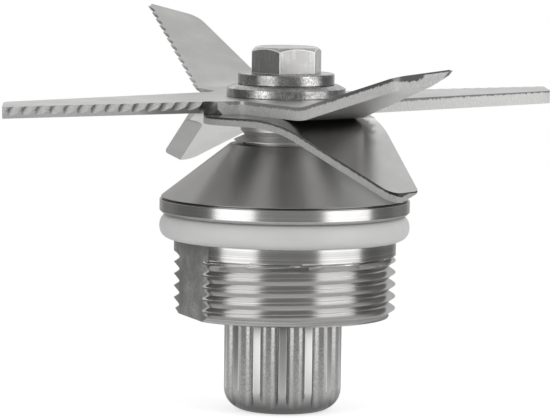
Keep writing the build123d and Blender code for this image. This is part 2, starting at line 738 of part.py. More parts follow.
# Retaining ring: open spring ring with two lugs drilled for pliers
with BuildPart() as retaining_ring:
    with BuildSketch(Plane.XY.offset(retaining_bottom)):
        Circle(retaining_groove_radius)
        Circle(retaining_groove_radius - retaining_wall, mode=Mode.SUBTRACT)
        opening_sides = [turned((tool_reach, 0), side * retaining_opening / 2) for side in (-1, 1)]
        Polygon((0, 0), *opening_sides, align=None, mode=Mode.SUBTRACT)
        lug_centres = [turned((retaining_lug_circle, 0), side * retaining_opening / 2) for side in (-1, 1)]
        with Locations(*lug_centres):
            Circle(retaining_lug_radius)
        with Locations(*lug_centres):
            Circle(retaining_hole_radius, mode=Mode.SUBTRACT)
    extrude(amount=retaining_thickness)
retaining_ring.part.label = "retaining_ring"
export_step(retaining_ring.part, "parts/retaining_ring.step")
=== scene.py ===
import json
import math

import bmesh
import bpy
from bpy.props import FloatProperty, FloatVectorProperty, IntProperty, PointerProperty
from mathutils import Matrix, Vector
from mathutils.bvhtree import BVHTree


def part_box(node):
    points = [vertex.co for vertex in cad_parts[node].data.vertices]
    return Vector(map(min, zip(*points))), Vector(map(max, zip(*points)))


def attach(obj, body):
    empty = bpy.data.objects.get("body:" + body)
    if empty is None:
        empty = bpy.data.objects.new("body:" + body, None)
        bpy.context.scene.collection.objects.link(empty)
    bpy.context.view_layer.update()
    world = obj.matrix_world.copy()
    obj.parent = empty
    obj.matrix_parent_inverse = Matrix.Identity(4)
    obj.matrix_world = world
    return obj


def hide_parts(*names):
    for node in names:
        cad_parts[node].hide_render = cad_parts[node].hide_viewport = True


bl_info = {
    "name": "Blender Blade Assembly",
    "version": (1, 0, 0),
    "blender": (4, 5, 0),
    "location": "View3D > Sidebar > Blades",
    "description": "Dresses a screw-in bearing housing and its blades in turned, ground and stamped steel",
    "category": "Object",
}

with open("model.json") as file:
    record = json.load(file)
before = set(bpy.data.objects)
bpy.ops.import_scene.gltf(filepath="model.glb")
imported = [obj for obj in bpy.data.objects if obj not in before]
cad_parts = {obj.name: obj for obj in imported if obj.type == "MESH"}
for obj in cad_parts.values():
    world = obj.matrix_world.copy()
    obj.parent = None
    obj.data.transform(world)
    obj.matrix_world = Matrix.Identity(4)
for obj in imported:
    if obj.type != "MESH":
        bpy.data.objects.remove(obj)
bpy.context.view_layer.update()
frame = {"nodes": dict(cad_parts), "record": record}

MM = 0.001

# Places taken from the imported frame
HOUSING_LOW, HOUSING_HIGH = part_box("housing")
RING_LOW, RING_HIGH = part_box("sealing_ring")
SEAL_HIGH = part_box("seal_case")[1]
UPPER_BEARING_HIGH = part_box("upper_bearing_outer_ring")[1]
LOWER_BEARING_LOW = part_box("lower_bearing_outer_ring")[0]
CLIP_LOW, CLIP_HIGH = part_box("retaining_ring")
COUPLING_LOW, COUPLING_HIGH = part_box("spline_coupling")
LARGE_WASHER_LOW, LARGE_WASHER_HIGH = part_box("large_washer")
SMALL_WASHER_LOW, SMALL_WASHER_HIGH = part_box("small_washer")
SHAFT_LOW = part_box("drive_shaft")[0]
THREAD_MOUNT = next(m for m in frame["record"]["mounts"] if m["name"] == "barrel_thread")
THREAD_CREST = THREAD_MOUNT["dims"]["r_mm"] * MM

# Distances within which points are welded, in metres
FINE_WELD = 1e-7
WELD = 1e-6
SEAM_WELD = 2e-6


def length(name, description, millimetres):
    """A size property in metres, given in millimetres."""
    return FloatProperty(
        name=name, description=description, default=millimetres * MM, unit="LENGTH", precision=5,
    )


def share(name, description, default):
    """A property from 0 to 1."""
    return FloatProperty(
        name=name, description=description, default=default, min=0, max=1, subtype="FACTOR",
    )


def amount(name, description, default):
    """A property for an amount of light or a measure of the camera."""
    return FloatProperty(name=name, description=description, default=default)


def count(name, description, default):
    """A property for a number of steps or copies."""
    return IntProperty(name=name, description=description, default=default)


def colour(name, description, default):
    """A colour property."""
    return FloatVectorProperty(
        name=name, description=description, default=default, min=0, max=1, size=3, subtype="COLOR",
    )


class HousingSizes(bpy.types.PropertyGroup):
    """Sizes of the turned housing that the frame's boxes don't give"""

    pitch: length("Thread pitch", "Rise of the barrel thread in one turn", 1.5)
    thread_depth: length("Thread depth", "From crest to root of the barrel thread", 0.92)
    thread_phase: length("Thread phase", "Height of a crest at the +X side, up to whole turns", 17.5)
    thread_end: length("Thread end", "Height at which the thread has run out into the plain collar", 19.7)
    thread_fade: length("Thread run-out", "Height over which the last turn grows shallow", 0.35)
    barrel_chamfer: length("Barrel chamfer", "Chamfer at the foot of the barrel", 0.85)
    flat_distance: length("Flat distance", "From the axis to the flat on the barrel", 12.27)
    flat_heading: FloatProperty(
        name="Flat heading", description="Direction that the flat faces", default=math.radians(200.3),
        subtype="ANGLE",
    )
    groove_root: length("Ring groove root", "Radius at the bottom of the ring groove", 12.36)
    flange_height: length("Flange height", "Height of the flange's rim", 1.75)
    flange_chamfer: length("Flange chamfer", "Chamfer under the flange", 0.35)
    relief_depth: length("Relief depth", "Depth of the undercut between flange and cone", 0.4)
    relief_height: length("Relief height", "Height of the undercut between flange and cone", 0.25)
    cone_base: length("Cone base", "Radius of the cone where it meets the flange", 15.48)
    cone_top: length("Cone top", "Radius of the flat at the top of the cone", 6.9)
    shaft_hole: length("Shaft hole", "Radius of the hole that the shaft passes", 5.3)
    turned_edge: length("Turned edge", "Rounding of the turned edges", 0.08)
    steps_around: count("Steps around", "Facets round the axis", 360)
    steps_per_pitch: count("Steps per pitch", "Rows in one turn of thread", 14)


class CouplingSizes(bpy.types.PropertyGroup):
    """Sizes of the splined drive plug"""

    spline_count: count("Splines", "Grooves round the plug", 14)
    groove_radius: length("Groove radius", "Radius of one groove's section", 1.25)
    groove_depth: length("Groove depth", "Depth of one groove", 0.95)
    foot_round: length("Foot rounding", "Rounding at the foot of the plug", 3.0)
    plug_length: length("Plug length", "Length of the splined plug", 11.4)
    bore_radius: length("Bore radius", "Radius of the hole for the shaft", 4.0)
    boss_radius: length("Boss radius", "Radius of the boss that meets the bearing", 5.4)
    edge_round: length("Edge rounding", "Broken edge at the top of the plug", 0.12)
    # The lands' edges carry a painted highlight line of this width
    edge_highlight_width: length("Edge line", "Width of the bright line at the lands' edges", 0.1)


class PlateSizes(bpy.types.PropertyGroup):
    """Edges of the washers and the bolt"""

    washer_edge: length("Washer edge", "Rounding of the washers' edges", 0.12)
    washer_rim: length("Washer rim", "Height of the large washer's upright rim", 1.05)
    washer_slope: length("Washer slope", "Width of the large washer's sloped rim", 0.9)
    washer_hole: length("Washer hole", "Radius of the washers' holes", 2.65)
    washer_steps: count("Washer steps", "Facets round a washer", 160)
    bolt_edge: length("Bolt edge", "Rounding of the bolt head's edges", 0.1)


class FinishSettings(bpy.types.PropertyGroup):
    """Colours and finish of the materials"""

    steel: colour("Steel", "Colour of the stainless steel", (0.63, 0.625, 0.62))
    milled_steel: colour("Milled steel", "Colour of the matt flat on the barrel", (0.62, 0.617, 0.612))
    dark_steel: colour("Darkened steel", "Colour of the spring steel ring", (0.2, 0.19, 0.18))
    silicone: colour("Silicone", "Colour of the sealing ring", (0.66, 0.66, 0.655))
    rubber: colour("Rubber", "Colour of the seal's lip", (0.03, 0.03, 0.03))
    turned_roughness: share("Turned roughness", "Roughness of turned steel", 0.2)
    blade_roughness: share("Blade roughness", "Roughness of the upper blade's satin faces", 0.34)
    lower_blade_roughness: share("Lower blade roughness", "Roughness of the lower blade's faces", 0.23)
    spline_roughness: share("Spline roughness", "Roughness of the splined plug", 0.36)
    ring_roughness: share("Ring roughness", "Roughness of the silicone", 0.45)


class StudioSettings(bpy.types.PropertyGroup):
    """Floor, light and camera"""

    floor_radius: length("Floor radius", "Radius of the pale round floor", 80)
    floor_colour: colour("Floor", "Colour of the floor", (0.86, 0.86, 0.86))
    floor_glow: share("Floor glow", "White that the floor shows even in shadow", 0.62)
    floor_mirrored: share("Floor in metal", "White that metal sees of the floor even in shadow", 0.28)
    window_radiance: amount("Window", "Radiance of the two soft boxes", 1.5)
    window_distance: length("Window distance", "From the axis to a soft box", 450)
    window_height: length("Window height", "Height of a soft box", 780)
    window_lift: length("Window lift", "Height of a soft box's middle", 60)
    fill: amount("Fill", "Radiance of the room for matt surfaces", 0.45)
    room_front: amount("Room", "Radiance of the room round the camera", 0.3)
    room_side: amount("Room sides", "Radiance of the room at the sides", 0.16)
    sweep_low: amount("Low sweep", "Radiance that the rear wall adds at its foot", 0.15)
    sweep_high: amount("High sweep", "Radiance that the rear wall adds higher up", 0.55)
    horizon: amount("Horizon", "Radiance added straight behind the object", 0.42)
    overhead: amount("Overhead", "Radiance added overhead", 0.2)
    lens: amount("Lens", "Focal length in millimetres", 267.4)
    sensor: amount("Sensor", "Width of the sensor in millimetres", 36)
    camera_place: FloatVectorProperty(
        name="Camera", description="Place of the camera", size=3, unit="LENGTH",
        default=(0.15 * MM, -506.9 * MM, 73.9 * MM),
    )
    camera_turn: FloatVectorProperty(
        name="Camera turn", description="Pitch, roll and heading of the camera", size=3, subtype="EULER",
        default=(math.radians(84.507), math.radians(-0.737), math.radians(0.223)),
    )


class AssemblySettings(bpy.types.PropertyGroup):
    """Everything a user would change"""

    housing: PointerProperty(type=HousingSizes)
    coupling: PointerProperty(type=CouplingSizes)
    plates: PointerProperty(type=PlateSizes)
    finish: PointerProperty(type=FinishSettings)
    studio: PointerProperty(type=StudioSettings)


def settings():
    """The settings held by the scene."""
    return bpy.context.scene.blade_assembly


# Node helpers

FLOAT = "NodeSocketFloat"
GEOMETRY = "NodeSocketGeometry"


def feed(tree, node, inputs):
    """Sets the inputs of a node, or links those whose value is another node's output."""
    for key, value in inputs.items():
        if isinstance(value, bpy.types.NodeSocket):
            tree.links.new(value, node.inputs[key])
        else:
            node.inputs[key].default_value = value


def add_node(tree, kind, inputs=None, **options):
    """A new node, with its options set and its inputs set or linked."""
    node = tree.nodes.new(kind)
    for option, value in options.items():
        setattr(node, option, value)
    feed(tree, node, inputs or {})
    return node


def calc(tree, operation, *values):
    """Output of a Math node."""
    return add_node(tree, "ShaderNodeMath", dict(enumerate(values)), operation=operation).outputs[0]


def times(tree, first, second):
    """Output of the product of two values."""
    return calc(tree, "MULTIPLY", first, second)


def less(tree, first, second):
    """Output of the first value less the second."""
    return calc(tree, "SUBTRACT", first, second)


def mix_value(tree, factor, low, high):
    """Output that goes from low to high, each a number or an output, as factor goes from 0 to 1."""
    return add_node(tree, "ShaderNodeMix", {0: factor, 2: low, 3: high}).outputs[0]


def mix_colour(tree, factor, first, second):
    """Output colour between first and second."""
    return add_node(tree, "ShaderNodeMix", {0: factor, 6: first, 7: second}, data_type="RGBA").outputs[2]


def smooth_step(tree, value, start, end):
    """Output that rises smoothly from 0 at start to 1 at end."""
    ends = {"Value": value, "From Min": start, "From Max": end}
    return add_node(tree, "ShaderNodeMapRange", ends, interpolation_type="SMOOTHSTEP").outputs["Result"]


def object_place(tree):
    """Output of the place on the object."""
    return add_node(tree, "ShaderNodeTexCoord").outputs["Object"]


def object_axes(tree):
    """Outputs X, Y and Z of the place on the object."""
    return add_node(tree, "ShaderNodeSeparateXYZ", {0: object_place(tree)}).outputs


def axis_radius(tree, axes):
    """Output of the distance from the part's axis."""
    squares = [times(tree, axes[k], axes[k]) for k in (0, 1)]
    return calc(tree, "SQRT", calc(tree, "ADD", *squares))


def attribute(tree, name):
    """Output of a value kept on the mesh's points."""
    return add_node(tree, "ShaderNodeAttribute", attribute_name=name).outputs["Fac"]


def new_group(name, kind, inputs, outputs):
    """A node group with named sockets, and its two end nodes."""
    tree = bpy.data.node_groups.new(name, kind)
    for socket_name, socket_type in inputs:
        tree.interface.new_socket(socket_name, in_out="INPUT", socket_type=socket_type)
    for socket_name, socket_type in outputs:
        tree.interface.new_socket(socket_name, in_out="OUTPUT", socket_type=socket_type)
    return tree, tree.nodes.new("NodeGroupInput"), tree.nodes.new("NodeGroupOutput")


# Shared surface noises

# Detail and roughness of each noise, and the heights at which its mask starts and is full
NOISES = {
    "turning_lines": (3.0, 0.62, 0.42, 0.62),
    "handling_marks": (4.0, 0.6, 0.35, 0.68),
    "satin_grain": (3.0, 0.65, 0.36, 0.66),
}
# How far a grain is squeezed along each axis
EVEN = (1.0, 1.0, 1.0)
UPRIGHT = (1.0, 1.0, 0.04)


def noise_group(name):
    """A noise with its mask: rings round the axis for turning lines, else grain that can be drawn out."""
    detail, roughness, clear, full = NOISES[name]
    tree, start, end = new_group(
        name, "ShaderNodeTree", [("Per mm", FLOAT), ("Squeeze", "NodeSocketVector")],
        [("Height", FLOAT), ("Mask", FLOAT)],
    )
    if name == "turning_lines":
        axes = object_axes(tree)
        place = add_node(tree, "ShaderNodeCombineXYZ", {0: axis_radius(tree, axes), 1: axes[2]}).outputs[0]
    else:
        place = object_place(tree)
    squeezed = {0: place, 1: start.outputs["Squeeze"]}
    drawn = add_node(tree, "ShaderNodeVectorMath", squeezed, operation="MULTIPLY").outputs[0]
    scale = times(tree, start.outputs["Per mm"], 1 / MM)
    height = add_node(
        tree, "ShaderNodeTexNoise",
        {"Vector": drawn, "Scale": scale, "Detail": detail, "Roughness": roughness},
    ).outputs[0]
    feed(tree, end, {"Height": height, "Mask": smooth_step(tree, height, clear, full)})
    return tree


def noise(tree, name, per_mm, squeeze=EVEN):
    """Height and mask of a shared noise, made once and placed in this material with its own scale."""
    group = bpy.data.node_groups.get(name) or noise_group(name)
    node = add_node(tree, "ShaderNodeGroup", {"Per mm": per_mm, "Squeeze": squeeze}, node_tree=group)
    return node.outputs["Height"], node.outputs["Mask"]


def handling_marks(tree, size):
    """Mask of the soft blotches of handling and tumbling, which change over a few millimetres."""
    return noise(tree, "handling_marks", 1 / size)[1]


# Materials

# Relief of the finishes, in millimetres
LATHE_RELIEF = 0.0012
SATIN_RELIEF = 0.003
GROUND_RELIEF = 0.004
TORN_RELIEF = 0.012
COARSE_RELIEF = 0.014
POLISHED_RELIEF = 0.0005
# Lines of the lathe on each millimetre, and sizes of the marks of handling in millimetres
LATHE_LINES = 5.0
TURNED_MARKS = 3.5
SATIN_MARKS = 5.0
MOULDED_MARKS = 6.0


def new_material(name):
    """An empty material, its tree and its Principled shader."""
    material = bpy.data.materials.new(name)
    material.use_nodes = True
    tree = material.node_tree
    return material, tree, tree.nodes["Principled BSDF"]


def shade(base, factor):
    """A colour made lighter or darker, as a shader's colour."""
    return (*[min(1.0, channel * factor) for channel in base[:3]], 1.0)


def bump(tree, height, relief, strength=1.0):
    """Normal output for a relief of some millimetres."""
    inputs = {"Strength": strength, "Distance": relief * MM, "Height": height}
    return add_node(tree, "ShaderNodeBump", inputs).outputs["Normal"]


def turned_steel(name, base, roughness, lines=LATHE_LINES):
    """Lathe-turned steel: fine rings that vary the gloss, and faint handling marks."""
    material, tree, shader = new_material(name)
    height, rings = noise(tree, "turning_lines", lines)
    dimmed = shade(base, 0.9)
    worn = mix_colour(tree, handling_marks(tree, TURNED_MARKS), dimmed, shade(base, 1.05))
    feed(tree, shader, {
        "Base Color": mix_colour(tree, rings, dimmed, worn),
        "Roughness": mix_value(tree, rings, roughness * 1.3, roughness * 0.85),
        "Metallic": 1.0,
        "Normal": bump(tree, height, LATHE_RELIEF),
    })
    return material


def satin_steel(name, base, roughness, grains=7.0, squeeze=EVEN, relief=SATIN_RELIEF, contrast=0.08,
                painted_shade=None, metal=1.0):
    """Stamped or tumbled steel: close grain, or lines if it is drawn out, and soft blotches, with a painted
    shade scaling its colour when one is given.
    """
    material, tree, shader = new_material(name)
    height, grain = noise(tree, "satin_grain", grains, squeeze)
    marks = handling_marks(tree, SATIN_MARKS)
    dimmed = shade(base, 1 - contrast)
    worn = mix_colour(tree, marks, dimmed, shade(base, 1 + contrast / 2))
    speckled = mix_colour(tree, grain, dimmed, worn)
    # A given painted shade darkens the grain's colour where it falls
    if painted_shade:
        scaled = {0: speckled, "Scale": painted_shade(tree)}
        speckled = add_node(tree, "ShaderNodeVectorMath", scaled, operation="SCALE").outputs[0]
    feed(tree, shader, {
        "Base Color": speckled,
        "Roughness": mix_value(tree, marks, roughness * 1.12, roughness * 0.92),
        "Metallic": metal,
        "Normal": bump(tree, height, relief),
    })
    return material


def painted_hub_shade(tree):
    """Painted shade and painted reflection of the upper blade on the lower blade: the top face beside the
    hub is darkened, and both arms stay unshaded.
    """
    unshaded = 1.25
    dimmed = 0.5
    axes = object_axes(tree)
    arm_side = calc(tree, "SIGN", times(tree, axes[1], -1.0))
    inside = smooth_step(tree, times(tree, axes[0], arm_side), 10.5 * MM, 8.0 * MM)
    on_top = smooth_step(tree, attribute(tree, "plate_depth"), 0.6, 0.4)
    # Scale of the colour: dimmed by the painted shade on the top face near the hub, unshaded elsewhere
    return mix_value(tree, times(tree, inside, on_top), unshaded, dimmed)


def threaded_steel(name, base, roughness, levels):
    """Turned housing: a plain cone darkened as a painted reflection, a painted shadow in the undercut, lined
    collar and flange, and a thread whose lined crests and roots carry a painted highlight.
    """
    material, tree, shader = new_material(name)
    soft = 0.02 * MM
    axes = object_axes(tree)
    height, rings = noise(tree, "turning_lines", LATHE_LINES)

    def above(level, rise=soft):
        """1 above one of the levels and 0 below it."""
        return smooth_step(tree, axes[2], levels[level] - rise, levels[level] + rise)

    def below(level):
        """1 below one of the levels and 0 above it."""
        return above(level, -soft)

    above_chamfer = above("chamfer_top")
    above_flange = smooth_step(tree, axes[2], levels["flange_top"] + soft, levels["flange_top"] + 2 * soft)
    below_crest = less(tree, levels["crest"], axis_radius(tree, axes))
    depth = calc(tree, "DIVIDE", below_crest, levels["thread_depth"])
    flank = times(tree, smooth_step(tree, depth, 0.08, 0.3), smooth_step(tree, depth, 0.97, 0.8))
    flange_lines = 0.12
    added_barrel_lines = 0.28
    line_share = calc(tree, "MULTIPLY_ADD", below("barrel_top"), added_barrel_lines, flange_lines)
    lines = times(tree, less(tree, 1.0, rings), line_share)
    worn = mix_colour(tree, handling_marks(tree, TURNED_MARKS), shade(base, 0.96), shade(base, 1.03))
    lined = mix_colour(tree, lines, worn, shade(base, 0.25))
    # Painted highlight: crests and roots are brighter than the flanks, crossed by darker turning lines
    crest_highlight_colour = mix_colour(tree, lines, shade(base, 1.25), shade(base, 0.6))
    thread_colour = mix_colour(tree, flank, crest_highlight_colour, shade(base, 1.0))
    # Painted reflection: the cone's steel is darkened to show a darker reflection
    shaded_cone_colour = shade(base, 0.8)
    # Painted shadow: the undercut between flange and cone is nearly black
    undercut_shadow_colour = shade(base, 0.15)
    toned = mix_colour(tree, times(tree, below("thread_end"), above_chamfer), lined, thread_colour)
    toned = mix_colour(tree, above("relief_top"), toned, shaded_cone_colour)
    toned = mix_colour(tree, times(tree, above_flange, below("relief_top")), toned, undercut_shadow_colour)
    chamfer_roughness = 0.42
    gloss = mix_value(tree, above_flange, roughness, roughness * 1.35)
    cone_relief = 0.15
    ring_height = times(tree, height, mix_value(tree, above_flange, 1.0, cone_relief))
    feed(tree, shader, {
        "Base Color": toned,
        "Roughness": mix_value(tree, above_chamfer, chamfer_roughness, gloss),
        "Metallic": 1.0,
        "Specular Tint": shade(base, 1.0),
        "Normal": bump(tree, ring_height, LATHE_RELIEF),
    })
    return material


def splined_steel(name, base, roughness, land_radius, groove_depth):
    """Fluted plug: satin lands, grooves darker by painted shade and flecked by grain, a foot darkened by
    painted shade, and edges brightened by a painted highlight.
    """
    material, tree, shader = new_material(name)
    axes = object_axes(tree)
    height, grain = noise(tree, "satin_grain", 6.0)
    edge = attribute(tree, "land_edge_highlight")
    below_land = less(tree, land_radius, axis_radius(tree, axes))
    above_foot = smooth_step(tree, axes[2], 0.8 * MM, 3.2 * MM)
    in_groove = smooth_step(tree, calc(tree, "DIVIDE", below_land, groove_depth), 0.02, 0.5)
    groove = times(tree, in_groove, above_foot)
    land_colour = shade(base, 0.92)
    # Painted shade: the rounded foot darkens towards the bottom
    foot_shade_colour = shade(base, 0.3)
    # Painted highlight: the lands' edges are paler and half metal
    edge_highlight_colour = shade(base, 1.5)
    # Painted shade: the grooves are darker than the lands, flecked by grain
    speckled = mix_colour(tree, grain, shade(base, 0.55), shade(base, 0.8))
    footed = mix_colour(tree, above_foot, foot_shade_colour, mix_colour(tree, groove, land_colour, speckled))
    feed(tree, shader, {
        "Base Color": mix_colour(tree, edge, footed, edge_highlight_colour),
        "Roughness": mix_value(tree, groove, roughness, roughness * 0.65),
        "Metallic": mix_value(tree, edge, 1.0, 0.5),
        "Normal": bump(tree, height, SATIN_RELIEF),
    })
    return material


def sheared_steel(name, base, band, front, rear):
    """Side of a stamped plate: a burnished band over a pale, rough fracture; painted light makes the
    fracture paler and the band thinner towards the rear, and painted shade deepens the band at the front tip
    and darkens it further out at the front.
    """
    material, tree, shader = new_material(name)
    axes = object_axes(tree)
    # Painted light: towards the rear the fracture is paler and the band thinner
    towards_rear = smooth_step(tree, axes[1], -8 * MM, 12 * MM)
    in_front = smooth_step(tree, axes[1], -2 * MM, -7 * MM)
    # Painted shade: at the front the band deepens at the tip and darkens further out
    at_tip = times(tree, smooth_step(tree, axes[0], 12 * MM, 15 * MM), in_front)
    outward = times(tree, smooth_step(tree, axes[0], 2 * MM, 8 * MM), in_front)
    coarse, _ = noise(tree, "satin_grain", 3.6, (1.0, 1.0, 0.4))
    height, fine = noise(tree, "satin_grain", 8.0, (1.0, 1.0, 0.3))
    raggedness = 0.4
    added_at_tip = 0.2
    soft = 0.04
    waver = less(tree, coarse, 0.5)
    ragged = calc(tree, "MULTIPLY_ADD", waver, raggedness, attribute(tree, "plate_depth"))
    band_depth = calc(tree, "MULTIPLY_ADD", at_tip, added_at_tip, mix_value(tree, towards_rear, 0.27, 0.12))
    torn = smooth_step(tree, less(tree, ragged, band_depth), -soft, soft)
    pale = mix_colour(tree, towards_rear, shade(base, front), shade(base, rear))
    dimmed = mix_colour(tree, towards_rear, shade(base, front * 0.8), shade(base, rear * 0.85))
    torn_colour = mix_colour(tree, fine, dimmed, pale)
    band_colour = mix_colour(tree, outward, shade(base, band), shade(base, band * 0.5))
    feed(tree, shader, {
        "Base Color": mix_colour(tree, torn, band_colour, torn_colour),
        "Roughness": mix_value(tree, torn, 0.25, 0.5),
        "Metallic": mix_value(tree, torn, 0.6, 0.15),
        "Normal": bump(tree, times(tree, height, torn), TORN_RELIEF),
    })
    return material


def scalloped_steel(name, base, roughness):
    """Hollows of the scalloped edges: ground steel, with painted shade on walls that face the hub, weaker
    towards the rear.
    """
    material, tree, shader = new_material(name)
    height, grain = noise(tree, "satin_grain", 6.0)
    ground = mix_colour(tree, grain, shade(base, 0.9), shade(base, 1.2))
    wall_shade_colour = shade(base, 0.12)
    rear_shade_share = 0.4
    towards_rear = smooth_step(tree, object_axes(tree)[1], 6 * MM, 14 * MM)
    wall = times(tree, attribute(tree, "scallop_wall_shade"), mix_value(tree, towards_rear, 1.0, rear_shade_share))
    feed(tree, shader, {
        "Base Color": mix_colour(tree, wall, ground, wall_shade_colour),
        "Roughness": mix_value(tree, grain, roughness * 1.2, roughness),
        "Metallic": 1.0,
        "Normal": bump(tree, height, GROUND_RELIEF),
    })
    return material


def moulded_rubber(name, base, roughness, subsurface=0.0):
    """Moulded silicone or rubber: a soft matt skin with a faint bloom."""
    material, tree, shader = new_material(name)
    height, _ = noise(tree, "satin_grain", 4.0)
    marks = handling_marks(tree, MOULDED_MARKS)
    feed(tree, shader, {
        "Base Color": mix_colour(tree, marks, shade(base, 0.97), shade(base, 1.03)),
        "Roughness": mix_value(tree, marks, roughness * 1.1, roughness * 0.92),
        "Subsurface Weight": subsurface,
        "Subsurface Radius": (1.0, 0.95, 0.9),
        "Subsurface Scale": 0.8 * MM,
        "Normal": bump(tree, height, GROUND_RELIEF, strength=0.6),
    })
    return material


# Mesh helpers


def rounded_profile(corners, steps=4, guard=0.03 * MM):
    """Points of an open outline of (radius, height, rounding) corners, with the rounded ones as arcs."""
    points = []
    last = len(corners) - 1
    for place, (radius, height, rounding) in enumerate(corners):
        corner = Vector((radius, height))
        if rounding == 0 or place in (0, last):
            points.append(corner)
            continue
        before = (Vector(corners[place - 1][:2]) - corner).normalized()
        after = (Vector(corners[place + 1][:2]) - corner).normalized()
        half = before.angle(after) / 2
        reach = rounding / math.tan(half)
        centre = corner + (before + after).normalized() * (rounding / math.sin(half))
        arm = corner + before * reach - centre
        sweep = -arm.angle_signed(corner + after * reach - centre)
        points.append(corner + before * (reach + guard))
        for step in range(steps + 1):
            points.append(centre + Matrix.Rotation(sweep * step / steps, 2) @ arm)
        points.append(corner + after * (reach + guard))
    return points


def ring(bm, radius, height, angles):
    """Points at one radius and height."""
    return [bm.verts.new((radius * math.cos(a), radius * math.sin(a), height)) for a in angles]


def bridge(bm, lower, upper):
    """Faces between two rows of points."""
    for place in range(len(lower) - 1):
        bm.faces.new((lower[place], lower[place + 1], upper[place + 1], upper[place]))


def lathe(bm, points, steps, closed=False):
    """Turns an outline of (radius, height) points round the axis into the bmesh."""
    angles = [math.tau * step / steps for step in range(steps)]
    rings = [ring(bm, radius, height, angles) for radius, height in points]
    if closed:
        rings.append(rings[0])
    for lower, upper in zip(rings, rings[1:]):
        bridge(bm, lower + lower[:1], upper + upper[:1])


def finished_mesh(bm, name, sharp_degrees=35, weld=FINE_WELD):
    """A smooth-shaded mesh from the bmesh, welded, with its faces outwards and its sharp edges marked."""
    bmesh.ops.remove_doubles(bm, verts=bm.verts, dist=weld)
    bmesh.ops.recalc_face_normals(bm, faces=bm.faces)
    mesh = plain_mesh(bm, name)
    mesh.shade_smooth()
    mesh.set_sharp_from_angle(angle=math.radians(sharp_degrees))
    return mesh


def plain_mesh(bm, name):
    """The bmesh as a mesh."""
    mesh = bpy.data.meshes.new(name)
    bm.to_mesh(mesh)
    bm.free()
    return mesh


def in_scene(name, data):
    """A new object in the scene."""
    made = bpy.data.objects.new(name, data)
    bpy.context.scene.collection.objects.link(made)
    return made


def new_piece(mesh, materials):
    """An object in the scene for a finished mesh, with the mesh's name."""
    for material in materials:
        mesh.materials.append(material)
    return in_scene(mesh.name, mesh)


def evaluated_mesh(piece):
    """The mesh of an object with its modifiers applied."""
    bpy.context.view_layer.update()
    graph = bpy.context.evaluated_depsgraph_get()
    return bpy.data.meshes.new_from_object(piece.evaluated_get(graph), depsgraph=graph)


def grown_mesh(tree, values, seed):
    """Plain mesh made from a seed by a Geometry Nodes tree whose inputs have these values."""
    carrier = in_scene("carrier", seed)
    modifier = carrier.modifiers.new("nodes", "NODES")
    modifier.node_group = tree
    for item in tree.interface.items_tree:
        if item.item_type == "SOCKET" and item.in_out == "INPUT" and item.name in values:
            modifier[item.identifier] = values[item.name]
    grown = evaluated_mesh(carrier)
    carrier.modifiers.clear()
    bpy.data.objects.remove(carrier)
    return grown


def keep_flat_shading(piece):
    """Lets large faces keep their own normals beside small rounded edges."""
    modifier = piece.modifiers.new("flat_faces", "WEIGHTED_NORMAL")
    modifier.keep_sharp = True
    modifier.weight = 100
    mesh = evaluated_mesh(piece)
    mesh.name = piece.name
    piece.modifiers.clear()
    piece.data = mesh


def claim(piece, body, slot, *nodes):
    """Rides the piece on its body, in the place of its CAD nodes."""
    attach(piece, body)
    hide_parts(*nodes)


# Geometry Nodes trees


def new_tree(name, sizes, counts):
    """A Geometry Nodes group that takes sizes, counts and a material, and its two end nodes."""
    inputs = [("Geometry", GEOMETRY)]
    inputs += [(size, FLOAT) for size in sizes]
    inputs += [(number, "NodeSocketInt") for number in counts]
    inputs += [("Material", "NodeSocketMaterial")]
    return new_group(name, "GeometryNodeTree", inputs, [("Geometry", GEOMETRY)])


def end_tree(tree, start, end, geometry, weld):
    """Ends a tree: its instances made real, its doubles welded and its material set."""
    real = add_node(tree, "GeometryNodeRealizeInstances", {"Geometry": geometry})
    welded = add_node(tree, "GeometryNodeMergeByDistance", {"Geometry": real.outputs[0], "Distance": weld})
    dressed = add_node(
        tree, "GeometryNodeSetMaterial",
        {"Geometry": welded.outputs[0], "Material": start.outputs["Material"]},
    )
    tree.links.new(dressed.outputs[0], end.inputs["Geometry"])
    return tree


